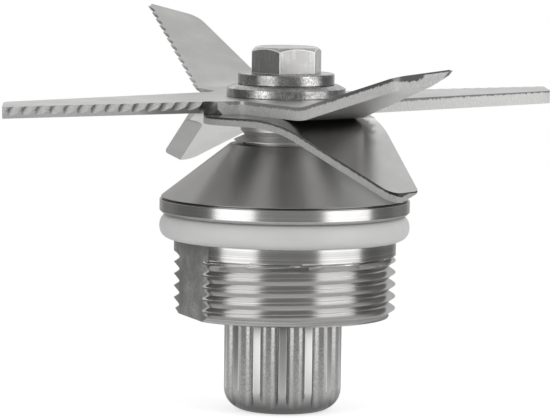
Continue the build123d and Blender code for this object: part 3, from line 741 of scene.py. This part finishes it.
def screw_thread_tree():
    """A turned wall with a screw thread that runs out below its plain top."""
    tree, start, end = new_tree(
        "screw_thread",
        [
            "Crest Radius", "Root Radius", "Pitch", "Bottom", "Top", "Thread Top", "Run Out", "Phase",
            "Chamfer",
        ],
        ["Steps Around", "Steps Per Pitch"],
    )
    given = start.outputs
    crest = given["Crest Radius"]

    def plus(first, second):
        """Output of a sum."""
        return calc(tree, "ADD", first, second)

    def in_turns(height):
        """Output of a height above the thread's phase, counted in turns."""
        return calc(tree, "DIVIDE", less(tree, height, given["Phase"]), given["Pitch"])

    # A grid of one unit, whose X goes round the wall and whose Y climbs it
    span = less(tree, given["Top"], given["Bottom"])
    turns = plus(calc(tree, "CEIL", calc(tree, "DIVIDE", span, given["Pitch"])), 2.0)
    rows = times(tree, turns, given["Steps Per Pitch"])
    grid = add_node(tree, "GeometryNodeMeshGrid", {
        "Size X": 1.0, "Size Y": 1.0,
        "Vertices X": plus(given["Steps Around"], 1.0), "Vertices Y": plus(rows, 1.0),
    })
    position = add_node(tree, "GeometryNodeInputPosition").outputs[0]
    place = add_node(tree, "ShaderNodeSeparateXYZ", {0: position}).outputs
    around = plus(place[0], 0.5)
    climb = times(tree, plus(place[1], 0.5), turns)
    # Rows follow the screw, and stop at the foot and the top of the wall
    first_turn = less(tree, calc(tree, "FLOOR", in_turns(given["Bottom"])), 1.0)
    turn = plus(plus(first_turn, climb), around)
    free_height = calc(tree, "MULTIPLY_ADD", turn, given["Pitch"], given["Phase"])
    height = calc(tree, "MINIMUM", calc(tree, "MAXIMUM", free_height, given["Bottom"]), given["Top"])
    # Section of the thread, from 0 at a rounded root to 1 at a crest
    part_turn = calc(tree, "FRACT", less(tree, in_turns(height), around))
    to_crest = calc(tree, "ABSOLUTE", calc(tree, "MULTIPLY_ADD", part_turn, 2.0, -1.0))
    root_round = 0.3
    full_rise = math.sqrt(1 + root_round ** 2) - root_round
    slope = calc(tree, "SQRT", calc(tree, "MULTIPLY_ADD", to_crest, to_crest, root_round ** 2))
    rise = calc(tree, "DIVIDE", less(tree, slope, root_round), full_rise)
    fade_start = less(tree, given["Thread Top"], given["Run Out"])
    fade = smooth_step(tree, height, fade_start, given["Thread Top"])
    cut = times(tree, less(tree, 1.0, rise), less(tree, 1.0, fade))
    wall = less(tree, crest, times(tree, cut, less(tree, crest, given["Root Radius"])))
    chamfer_wall = plus(less(tree, crest, given["Chamfer"]), less(tree, height, given["Bottom"]))
    radius = calc(tree, "MINIMUM", wall, chamfer_wall)
    angle = times(tree, around, math.tau)
    spot = add_node(tree, "ShaderNodeCombineXYZ", {
        0: times(tree, radius, calc(tree, "COSINE", angle)),
        1: times(tree, radius, calc(tree, "SINE", angle)),
        2: height,
    }).outputs[0]
    wound = add_node(tree, "GeometryNodeSetPosition", {"Geometry": grid.outputs["Mesh"], "Position": spot})
    return end_tree(tree, start, end, wound.outputs[0], WELD)


def repeat_around_tree():
    """Copies of one sector, turned about the axis and welded into a whole."""
    tree, start, end = new_tree("repeat_around", [], ["Copies"])
    copies = start.outputs["Copies"]
    points = add_node(tree, "GeometryNodePoints", {"Count": copies})
    index = add_node(tree, "GeometryNodeInputIndex").outputs[0]
    angle = times(tree, calc(tree, "DIVIDE", index, copies), math.tau)
    turn = add_node(tree, "ShaderNodeCombineXYZ", {2: angle})
    rotation = add_node(tree, "FunctionNodeEulerToRotation", {0: turn.outputs[0]})
    placed = add_node(tree, "GeometryNodeInstanceOnPoints", {
        "Points": points.outputs[0], "Instance": start.outputs["Geometry"], "Rotation": rotation.outputs[0],
    })
    return end_tree(tree, start, end, placed.outputs[0], SEAM_WELD)


def node_tree(name, maker):
    """A Geometry Nodes tree, made once."""
    return bpy.data.node_groups.get(name) or maker()


# Pieces


class BLADES_OT_housing(bpy.types.Operator):
    """Housing: threaded barrel with its flat, ring groove, flange and cone"""

    bl_idname = "blades.housing"
    bl_label = "Housing"

    def execute(self, context):
        sizes = settings().housing
        finish = settings().finish
        bottom = HOUSING_LOW.z
        barrel_top = RING_LOW.z
        flange_top = RING_HIGH.z + sizes.flange_height
        levels = {
            "thread_end": sizes.thread_end, "chamfer_top": bottom + sizes.barrel_chamfer,
            "barrel_top": barrel_top, "flange_top": flange_top, "crest": THREAD_CREST,
            "thread_depth": sizes.thread_depth, "relief_top": flange_top + sizes.relief_height,
        }
        steel = threaded_steel("housing_steel", finish.steel, finish.turned_roughness, levels)
        flat_steel = satin_steel(
            "flat_steel", finish.milled_steel, roughness=0.55, grains=6.0, relief=COARSE_RELIEF,
            contrast=0.5,
        )
        wall = grown_mesh(
            node_tree("screw_thread", screw_thread_tree),
            {
                "Crest Radius": THREAD_CREST, "Root Radius": THREAD_CREST - sizes.thread_depth,
                "Pitch": sizes.pitch, "Bottom": bottom, "Top": barrel_top,
                "Thread Top": sizes.thread_end, "Run Out": sizes.thread_fade,
                "Phase": sizes.thread_phase, "Chamfer": sizes.barrel_chamfer,
                "Steps Around": sizes.steps_around, "Steps Per Pitch": sizes.steps_per_pitch,
                "Material": steel,
            },
            bpy.data.meshes.new("seed"),
        )
        bm = bmesh.new()
        bm.from_mesh(wall)
        bpy.data.meshes.remove(wall)
        lathe(bm, rounded_profile(self.turned_corners(sizes, levels)), sizes.steps_around)
        self.mill_flat(bm, sizes, barrel_top)
        piece = new_piece(finished_mesh(bm, "housing_body", weld=WELD), [steel, flat_steel])
        claim(piece, "housing", "housing_steel", "housing")
        return {"FINISHED"}

    def turned_corners(self, sizes, levels):
        """Corners of the housing's outline from the top of the barrel, over the cone and down the bore."""
        bottom = HOUSING_LOW.z
        barrel_top = levels["barrel_top"]
        flange_bottom = RING_HIGH.z
        flange_top = levels["flange_top"]
        relief_top = levels["relief_top"]
        flange = HOUSING_HIGH.x
        bearing = UPPER_BEARING_HIGH.x
        seal = SEAL_HIGH.x
        clip = -CLIP_LOW.x
        edge = sizes.turned_edge
        fine_edge = edge / 2
        wide_edge = 3 * edge
        return [
            (THREAD_CREST, barrel_top, 0),
            (sizes.groove_root, barrel_top, 0),
            (sizes.groove_root, flange_bottom, 0),
            (flange - sizes.flange_chamfer, flange_bottom, edge),
            (flange, flange_bottom + sizes.flange_chamfer, edge),
            (flange, flange_top, edge),
            (sizes.cone_base - sizes.relief_depth, flange_top, 0),
            (sizes.cone_base - sizes.relief_depth, relief_top, 0),
            (sizes.cone_base, relief_top, fine_edge),
            (sizes.cone_top, HOUSING_HIGH.z, wide_edge),
            (sizes.shaft_hole, HOUSING_HIGH.z, edge),
            (sizes.shaft_hole, SEAL_HIGH.z, 0),
            (seal, SEAL_HIGH.z, 0),
            (seal, UPPER_BEARING_HIGH.z, 0),
            (bearing, UPPER_BEARING_HIGH.z, 0),
            (bearing, LOWER_BEARING_LOW.z, 0),
            (clip, CLIP_HIGH.z, 0),
            (clip, CLIP_LOW.z, 0),
            (bearing, CLIP_LOW.z, 0),
            (bearing, bottom, edge),
            (THREAD_CREST - sizes.barrel_chamfer, bottom, 0),
        ]

    def mill_flat(self, bm, sizes, barrel_top):
        """Brings the points of the barrel's wall that lie past the flat back to it."""
        facing = Vector((math.cos(sizes.flat_heading), math.sin(sizes.flat_heading), 0))
        wall_limit = sizes.groove_root + 0.1 * MM
        tiny = 0.001 * MM
        milled = set()
        for vert in bm.verts:
            reach = facing.dot(vert.co)
            on_wall = vert.co.z < barrel_top + tiny and vert.co.xy.length > wall_limit
            if on_wall and reach > sizes.flat_distance - tiny:
                vert.co.xy *= sizes.flat_distance / reach
                milled.add(vert)
        for face in bm.faces:
            face.material_index = 1 if milled.issuperset(face.verts) else 0


class BLADES_OT_sealing_ring(bpy.types.Operator):
    """Sealing ring: moulded silicone, a little squared where it seats"""

    bl_idname = "blades.sealing_ring"
    bl_label = "Sealing ring"

    def execute(self, context):
        finish = settings().finish
        silicone = moulded_rubber("silicone", finish.silicone, finish.ring_roughness, subsurface=0.25)
        half = (RING_HIGH.z - RING_LOW.z) / 2
        centre = RING_HIGH.x - half
        middle = (RING_HIGH.z + RING_LOW.z) / 2
        section_steps = 40
        fullness = 0.9
        points = []
        for step in range(section_steps):
            angle = math.tau * step / section_steps
            across = math.copysign(abs(math.cos(angle)) ** fullness, math.cos(angle))
            up = math.copysign(abs(math.sin(angle)) ** fullness, math.sin(angle))
            points.append((centre + half * across, middle + half * up))
        bm = bmesh.new()
        lathe(bm, points, settings().housing.steps_around, closed=True)
        piece = new_piece(finished_mesh(bm, "sealing_ring_moulding"), [silicone])
        claim(piece, "housing", "silicone", "sealing_ring")
        return {"FINISHED"}


class BLADES_OT_coupling(bpy.types.Operator):
    """Spline coupling: fluted plug with a rounded foot"""

    bl_idname = "blades.coupling"
    bl_label = "Spline coupling"

    def execute(self, context):
        sizes = settings().coupling
        finish = settings().finish
        radius = COUPLING_HIGH.x
        steel = splined_steel(
            "coupling_steel", finish.steel, finish.spline_roughness, radius, sizes.groove_depth,
        )
        whole = grown_mesh(
            node_tree("repeat_around", repeat_around_tree),
            {"Copies": sizes.spline_count, "Material": steel}, self.sector_mesh(sizes, radius),
        )
        bm = bmesh.new()
        bm.from_mesh(whole)
        bpy.data.meshes.remove(whole)
        piece = new_piece(finished_mesh(bm, "spline_plug", sharp_degrees=30), [steel])
        claim(piece, "rotor", "coupling_steel", "spline_coupling")
        return {"FINISHED"}

    def sector_mesh(self, sizes, radius):
        """One spline of the plug from foot to bore, with the edges of its lands marked for their painted
        highlight.
        """
        columns = self.sector_outline(sizes, radius, math.tau / sizes.spline_count)
        angles = [angle for angle, _, _ in columns]
        bm = bmesh.new()
        edge_layer = bm.verts.layers.float.new("land_edge_highlight")
        rows = [ring(bm, 0, COUPLING_LOW.z, angles)]
        for height, wall in self.wall_profile(sizes, radius):
            row = []
            for angle, reach, edge in columns:
                row += ring(bm, min(reach, wall), height, [angle])
                row[-1][edge_layer] = edge if wall >= radius else 0
            rows.append(row)
        inner = [
            (sizes.boss_radius, sizes.plug_length), (sizes.boss_radius, COUPLING_HIGH.z),
            (sizes.bore_radius, COUPLING_HIGH.z), (sizes.bore_radius, SHAFT_LOW.z), (0, SHAFT_LOW.z),
        ]
        rows += [ring(bm, wall, height, angles) for wall, height in inner]
        for lower, upper in zip(rows, rows[1:]):
            bridge(bm, lower, upper)
        bmesh.ops.remove_doubles(bm, verts=bm.verts, dist=FINE_WELD)
        return plain_mesh(bm, "spline_sector")

    def sector_outline(self, sizes, radius, sector):
        """(angle, radius, edge) points over one spline: half a land, the groove, half a land."""
        centre = radius - sizes.groove_depth + sizes.groove_radius
        lift = (centre ** 2 + radius ** 2 - sizes.groove_radius ** 2) / (2 * centre)
        edge = math.acos(lift / radius)
        line = sizes.edge_highlight_width / radius
        middle = -math.pi / 2 + sector / 2
        half_land = sector / 2 - edge - line
        land_steps = 3
        groove_steps = 16
        offsets = [sector / 2 - half_land * step / land_steps for step in range(land_steps + 1)]
        before = [(middle - offset, radius, 0) for offset in offsets]
        after = [(middle + offset, radius, 0) for offset in reversed(offsets)]
        half_sweep = math.asin(radius * math.sin(edge) / sizes.groove_radius)
        groove = []
        for step in range(groove_steps + 1):
            swing = half_sweep * (2 * step / groove_steps - 1)
            x = centre - sizes.groove_radius * math.cos(swing)
            y = sizes.groove_radius * math.sin(swing)
            at_edge = 1 if step in (0, groove_steps) else 0
            groove.append((middle + math.atan2(y, x), math.hypot(x, y), at_edge))
        return before + groove + after

    def wall_profile(self, sizes, radius):
        """(height, radius) pairs of the turned blank without its grooves, close at the foot."""
        foot_steps = 36
        foot = sizes.foot_round
        arc = [math.pi / 2 * step / foot_steps for step in range(foot_steps + 1)]
        pairs = [(foot * (1 - math.cos(angle)), radius - foot + foot * math.sin(angle)) for angle in arc]
        top = sizes.plug_length
        edge = sizes.edge_round
        bulge = 0.3 * edge
        return pairs + [(top - edge, radius), (top - bulge, radius - bulge), (top, radius - edge)]


class BLADES_OT_washers(bpy.types.Operator):
    """Washers: the wide one with a sloped rim and the plain one on it"""

    bl_idname = "blades.washers"
    bl_label = "Washers"

    def execute(self, context):
        sizes = settings().plates
        steel = satin_steel(
            "washer_steel", shade(settings().finish.steel, 1.2), roughness=0.24, grains=8.0,
            squeeze=(1.0, 1.0, 0.5), relief=COARSE_RELIEF, contrast=0.6,
        )
        large = LARGE_WASHER_HIGH.x
        small = SMALL_WASHER_HIGH.x
        hole = sizes.washer_hole
        edge = sizes.washer_edge
        wide_edge = 1.6 * edge
        outlines = {
            "large_washer": [
                (hole, LARGE_WASHER_LOW.z, 0),
                (large, LARGE_WASHER_LOW.z, edge),
                (large, LARGE_WASHER_LOW.z + sizes.washer_rim, edge),
                (large - sizes.washer_slope, LARGE_WASHER_HIGH.z, edge),
                (hole, LARGE_WASHER_HIGH.z, edge),
                (hole, LARGE_WASHER_LOW.z, 0),
            ],
            "small_washer": [
                (hole, SMALL_WASHER_LOW.z, 0),
                (small, SMALL_WASHER_LOW.z, edge),
                (small, SMALL_WASHER_HIGH.z, wide_edge),
                (hole, SMALL_WASHER_HIGH.z, edge),
                (hole, SMALL_WASHER_LOW.z, 0),
            ],
        }
        for node, corners in outlines.items():
            bm = bmesh.new()
            lathe(bm, rounded_profile(corners), sizes.washer_steps)
            piece = new_piece(finished_mesh(bm, node + "_disc"), [steel])
            claim(piece, "rotor", "washer_steel", node)
        return {"FINISHED"}


def node_copy(node):
    """The CAD node's mesh as a welded bmesh."""
    source = frame["nodes"][node].data
    bm = bmesh.new()
    verts = [bm.verts.new(vert.co) for vert in source.vertices]
    for polygon in source.polygons:
        bm.faces.new([verts[k] for k in polygon.vertices])
    bmesh.ops.remove_doubles(bm, verts=bm.verts, dist=WELD)
    return bm


def patches(bm, sharp_degrees):
    """Lists of faces that join smoothly."""
    limit = math.radians(sharp_degrees)
    left = set(bm.faces)
    found = []
    while left:
        patch = [left.pop()]
        for face in patch:
            for edge in face.edges:
                if edge.calc_face_angle(math.pi) < limit:
                    joined = left.intersection(edge.link_faces)
                    patch.extend(joined)
                    left -= joined
        found.append(patch)
    return found


class BLADES_OT_plates(bpy.types.Operator):
    """Blades: stamped plates with satin faces and sheared sides"""

    bl_idname = "blades.plates"
    bl_label = "Blades"

    # Kinds of patch, in the order of a plate's materials, and the limits that tell them apart
    FACE, SIDE, SCALLOP, GRIND = range(4)
    side_limit = 0.35
    longest_scallop = 3.6 * MM
    largest_grind = 1e-4
    sharp_degrees = 12
    thinnest = 1e-9
    smallest_area = 1e-12
    # How dark the painted shade on a scallop's inner wall becomes as it turns towards the hub, and on its
    # outer wall
    inner_shadow = 1.3
    outer_shadow = 0.15

    def execute(self, context):
        finish = settings().finish
        steel = finish.steel
        satin = satin_steel("blade_steel", steel, finish.blade_roughness)
        # The lower blade's colour carries the painted shade and painted reflection of the upper blade beside
        # the hub
        smooth = satin_steel("lower_blade_steel", steel, finish.lower_blade_roughness, painted_shade=painted_hub_shade)
        # front and rear set how pale painted light makes the fracture at each end
        sheared = sheared_steel("blade_edge_steel", steel, band=0.6, front=1.0, rear=1.2)
        thin_sheared = sheared_steel("lower_edge_steel", steel, band=0.1, front=0.6, rear=0.9)
        scalloped = scalloped_steel("scallop_steel", steel, finish.blade_roughness)
        # Painted shade: the ground bevels are darker than the faces
        ground = satin_steel("shaded_ground_steel", shade(steel, 0.8), finish.blade_roughness)
        self.make_plate("upper_blade", [satin, sheared, scalloped, ground])
        self.make_plate("lower_blade", [smooth, thin_sheared, scalloped, ground])
        return {"FINISHED"}

    def make_plate(self, node, materials):
        """One plate, with the depth below its top face and the painted shade of the scallops' walls kept on
        its points.
        """
        bm = node_copy(node)
        bm.normal_update()
        tops = self.facing(bm, 1)
        bottoms = self.facing(bm, -1)
        depth = bm.verts.layers.float.new("plate_depth")
        wall = bm.verts.layers.float.new("scallop_wall_shade")
        for vert in bm.verts:
            above = tops.find_nearest(vert.co)[3]
            below = bottoms.find_nearest(vert.co)[3]
            vert[depth] = above / max(above + below, self.thinnest)
        for patch in patches(bm, self.sharp_degrees):
            kind = self.patch_kind(patch)
            for face in patch:
                face.material_index = kind
                if kind == self.SCALLOP:
                    self.mark_wall_shade(face, wall)
        piece = new_piece(finished_mesh(bm, node + "_plate", self.sharp_degrees), materials)
        claim(piece, "rotor", "blade_steel", node)

    def facing(self, bm, way):
        """Search tree of the faces of a plate that look up, with a way of 1, or down, with -1."""
        bm.verts.index_update()
        points = [vert.co.copy() for vert in bm.verts]
        chosen = [face for face in bm.faces if way * face.normal.z > self.side_limit]
        return BVHTree.FromPolygons(points, [[vert.index for vert in face.verts] for face in chosen])

    def patch_kind(self, patch):
        """Kind of a patch, from its spread, its lean and its area."""
        area = sum(face.calc_area() for face in patch)
        lean = sum(abs(face.normal.z) * face.calc_area() for face in patch) / max(area, self.smallest_area)
        spots = [vert.co for face in patch for vert in face.verts]
        spread = Vector([max(s[k] for s in spots) - min(s[k] for s in spots) for k in range(3)]).length
        if spread < self.longest_scallop:
            return self.SCALLOP
        if lean < self.side_limit:
            return self.SIDE
        return self.GRIND if area < self.largest_grind else self.FACE

    def mark_wall_shade(self, face, layer):
        """Keeps on a scallop's points how dark the painted shade on its wall is, by how far the face turns
        towards the hub.
        """
        inward = -face.calc_center_median()
        inward.z = 0
        turn = face.normal.dot(inward.normalized())
        shadow = min(1.0, self.inner_shadow * max(0.0, turn)) + self.outer_shadow * max(0.0, -turn)
        for vert in face.verts:
            vert[layer] = max(vert[layer], shadow)


class BLADES_OT_bolt(bpy.types.Operator):
    """Bolt: hexagon head with broken edges brightened by a painted highlight, and its shank"""

    bl_idname = "blades.bolt"
    bl_label = "Bolt"

    def execute(self, context):
        base = settings().finish.steel
        steel = satin_steel(
            "bolt_steel", shade(base, 1.05), roughness=0.25, grains=4.0, squeeze=UPRIGHT,
            relief=GROUND_RELIEF, contrast=0.3,
        )
        # Painted highlight: the broken edges are paler, half-metal steel
        bright = satin_steel("bolt_edge_highlight_steel", shade(base, 1.5), roughness=0.3, metal=0.5)
        flat_within = math.radians(0.4)
        sharp_from = math.radians(20)
        bm = node_copy("hex_bolt")
        bmesh.ops.dissolve_limit(bm, angle_limit=flat_within, verts=bm.verts, edges=bm.edges)
        sharp = [edge for edge in bm.edges if edge.calc_face_angle(0) > sharp_from]
        broken = bmesh.ops.bevel(
            bm, geom=sharp, offset=settings().plates.bolt_edge, offset_type="OFFSET", segments=2,
            profile=0.5, affect="EDGES", clamp_overlap=False, material=-1,
        )
        for face in broken["faces"]:
            face.material_index = 1
        piece = new_piece(finished_mesh(bm, "bolt"), [steel, bright])
        keep_flat_shading(piece)
        claim(piece, "rotor", "bolt_steel", "hex_bolt")
        return {"FINISHED"}


class BLADES_OT_carried(bpy.types.Operator):
    """Shaft, seal, bearings, spacers and retaining ring: their own meshes in their own finishes"""

    bl_idname = "blades.carried"
    bl_label = "Shaft, seal and bearings"

    def execute(self, context):
        finish = settings().finish
        steel = finish.steel
        spacer = turned_steel("spacer_steel", shade(steel, 0.9), roughness=0.28)
        finishes = {
            "drive_shaft": turned_steel("shaft_steel", shade(steel, 0.95), roughness=0.4),
            "seal_case": satin_steel("seal_case_steel", shade(steel, 0.8), roughness=0.35),
            "seal_lip": moulded_rubber("seal_rubber", finish.rubber, roughness=0.55),
            "seal_spring": turned_steel("seal_spring_steel", shade(steel, 0.9), roughness=0.25),
            "bearing_outer_spacer": spacer,
            "bearing_inner_spacer": spacer,
            "retaining_ring": satin_steel("retaining_steel", finish.dark_steel, roughness=0.4),
        }
        ground = turned_steel("bearing_ring_steel", steel, roughness=0.16, lines=7.0)
        polished = satin_steel(
            "bearing_ball_steel", shade(steel, 1.12), roughness=0.08, relief=POLISHED_RELIEF,
        )
        pressed = satin_steel("pressed_steel", shade(steel, 0.85), roughness=0.35)
        bearing = {
            "outer_ring": ground, "inner_ring": ground, "balls": polished,
            "cage": pressed, "shields": pressed,
        }
        for place in ("upper", "lower"):
            for part, material in bearing.items():
                finishes[f"{place}_bearing_{part}"] = material
        for node, material in finishes.items():
            for slot in frame["nodes"][node].material_slots:
                slot.material = material
        return {"FINISHED"}


class BLADES_OT_stage(bpy.types.Operator):
    """Stage: pale round floor, two soft boxes, a quiet room and the camera"""

    bl_idname = "blades.stage"
    bl_label = "Stage"

    # Heading and spread of the soft boxes in degrees, from the way to the camera
    windows = {"left_window": (-46.5, 39.0), "right_window": (60.2, 47.5)}
    white = (1, 1, 1, 1)
    # Where each light of the room starts and is full along its axis of the view direction
    side_band = (-0.75, -0.2)
    raised_band = (0.0, 0.45)
    sweep_band = (0.25, 0.75)
    horizon_band = (0.8, 0.98)
    overhead_band = (0.5, 0.8)

    def execute(self, context):
        studio = settings().studio
        self.make_floor(studio)
        self.make_room(studio)
        for name, (heading, spread) in self.windows.items():
            self.make_window(name, math.radians(heading), math.radians(spread), studio)
        self.make_camera(studio)
        context.scene.view_settings.view_transform = "Standard"
        return {"FINISHED"}

    def seen_in_metal(self, tree, path):
        """1 for rays that are mirrored or refracted."""
        return calc(tree, "MAXIMUM", path["Is Glossy Ray"], path["Is Transmission Ray"])

    def make_floor(self, studio):
        """A pale round floor that shows the shadow and fades out at its rim."""
        rim_start = 0.6
        bm = bmesh.new()
        bmesh.ops.create_circle(bm, cap_ends=True, segments=96, radius=studio.floor_radius)
        material, tree, shader = new_material("floor_paper")
        _, grain = noise(tree, "satin_grain", 1.2)
        pale = studio.floor_colour
        feed(tree, shader, {
            "Base Color": mix_colour(tree, grain, shade(pale, 0.99), shade(pale, 1.0)),
            "Roughness": 0.9,
            "Specular IOR Level": 0.1,
        })
        path = add_node(tree, "ShaderNodeLightPath").outputs
        seen = times(tree, path["Is Camera Ray"], studio.floor_glow)
        mirrored = times(tree, self.seen_in_metal(tree, path), studio.floor_mirrored)
        strength = calc(tree, "ADD", seen, mirrored)
        glow = add_node(tree, "ShaderNodeEmission", {"Color": self.white, "Strength": strength})
        lit = add_node(tree, "ShaderNodeAddShader", {0: shader.outputs[0], 1: glow.outputs[0]})
        clear = add_node(tree, "ShaderNodeBsdfTransparent")
        place = {0: object_place(tree)}
        reach = add_node(tree, "ShaderNodeVectorMath", place, operation="LENGTH").outputs["Value"]
        rim = smooth_step(tree, reach, studio.floor_radius * rim_start, studio.floor_radius)
        faded = add_node(tree, "ShaderNodeMixShader", {0: rim, 1: lit.outputs[0], 2: clear.outputs[0]})
        tree.links.new(faded.outputs[0], tree.nodes["Material Output"].inputs["Surface"])
        new_piece(plain_mesh(bm, "floor"), [material])

    def make_room(self, studio):
        """World: white in the picture, quiet grey round the camera, paler behind, a fill for matt skins."""
        world = bpy.data.worlds.new("studio_room")
        world.use_nodes = True
        bpy.context.scene.world = world
        tree = world.node_tree
        path = add_node(tree, "ShaderNodeLightPath").outputs
        direction = add_node(tree, "ShaderNodeTexCoord").outputs["Generated"]
        axes = add_node(tree, "ShaderNodeSeparateXYZ", {0: direction}).outputs
        depth = axes[1]
        height = axes[2]
        to_side = smooth_step(tree, depth, *self.side_band)
        room = mix_value(tree, to_side, studio.room_front, studio.room_side)
        high = smooth_step(tree, height, *self.raised_band)
        raised = mix_value(tree, high, studio.sweep_low, studio.sweep_high)
        added = (
            times(tree, smooth_step(tree, depth, *self.sweep_band), raised),
            times(tree, smooth_step(tree, depth, *self.horizon_band), studio.horizon),
            times(tree, smooth_step(tree, height, *self.overhead_band), studio.overhead),
        )
        for light in added:
            room = calc(tree, "ADD", room, light)
        unseen = mix_value(tree, self.seen_in_metal(tree, path), studio.fill, room)
        strength = mix_value(tree, path["Is Camera Ray"], unseen, 1.0)
        feed(tree, tree.nodes["Background"], {"Color": self.white, "Strength": strength})

    def make_window(self, name, heading, spread, studio):
        """A soft box beside the camera, tall enough to show below the horizon."""
        reach = studio.window_distance
        lamp = bpy.data.lights.new(name, "AREA")
        lamp.shape = "RECTANGLE"
        lamp.size = 2 * reach * math.tan(spread / 2)
        lamp.size_y = studio.window_height
        lamp.energy = studio.window_radiance * math.pi * lamp.size * lamp.size_y
        box = in_scene(name, lamp)
        box.location = (reach * math.sin(heading), -reach * math.cos(heading), studio.window_lift)
        box.rotation_euler = (math.pi / 2, 0, heading)

    def make_camera(self, studio):
        """Camera at the photo's angle."""
        camera = in_scene("camera", bpy.data.cameras.new("camera"))
        camera.location = studio.camera_place
        camera.rotation_euler = studio.camera_turn
        camera.data.lens = studio.lens
        camera.data.sensor_width = studio.sensor
        camera.data.clip_start = 10 * MM
        bpy.context.scene.camera = camera


OPERATORS = (
    BLADES_OT_housing, BLADES_OT_sealing_ring, BLADES_OT_coupling, BLADES_OT_washers, BLADES_OT_plates,
    BLADES_OT_bolt, BLADES_OT_carried, BLADES_OT_stage,
)


class BLADES_PT_sidebar(bpy.types.Panel):
    """Steps that dress the blade assembly, and its settings"""

    bl_idname = "BLADES_PT_sidebar"
    bl_label = "Blade assembly"
    bl_space_type = "VIEW_3D"
    bl_region_type = "UI"
    bl_category = "Blades"

    def draw(self, context):
        column = self.layout.column()
        for operator in OPERATORS:
            column.operator(operator.bl_idname)
        for group_name in AssemblySettings.__annotations__:
            group = getattr(settings(), group_name)
            column.separator()
            for name in type(group).__annotations__:
                column.prop(group, name)


CLASSES = (
    HousingSizes, CouplingSizes, PlateSizes, FinishSettings, StudioSettings, AssemblySettings,
    *OPERATORS, BLADES_PT_sidebar,
)


def register():
    """Makes the classes and the scene's settings known to Blender."""
    for cls in CLASSES:
        bpy.utils.register_class(cls)
    bpy.types.Scene.blade_assembly = PointerProperty(type=AssemblySettings)


def unregister():
    """Takes them away again."""
    del bpy.types.Scene.blade_assembly
    for cls in reversed(CLASSES):
        bpy.utils.unregister_class(cls)


def main():
    """Dresses the part."""
    register()
    bpy.ops.blades.housing()
    bpy.ops.blades.sealing_ring()
    bpy.ops.blades.coupling()
    bpy.ops.blades.washers()
    bpy.ops.blades.plates()
    bpy.ops.blades.bolt()
    bpy.ops.blades.carried()
    bpy.ops.blades.stage()


if __name__ == "__main__":
    main()
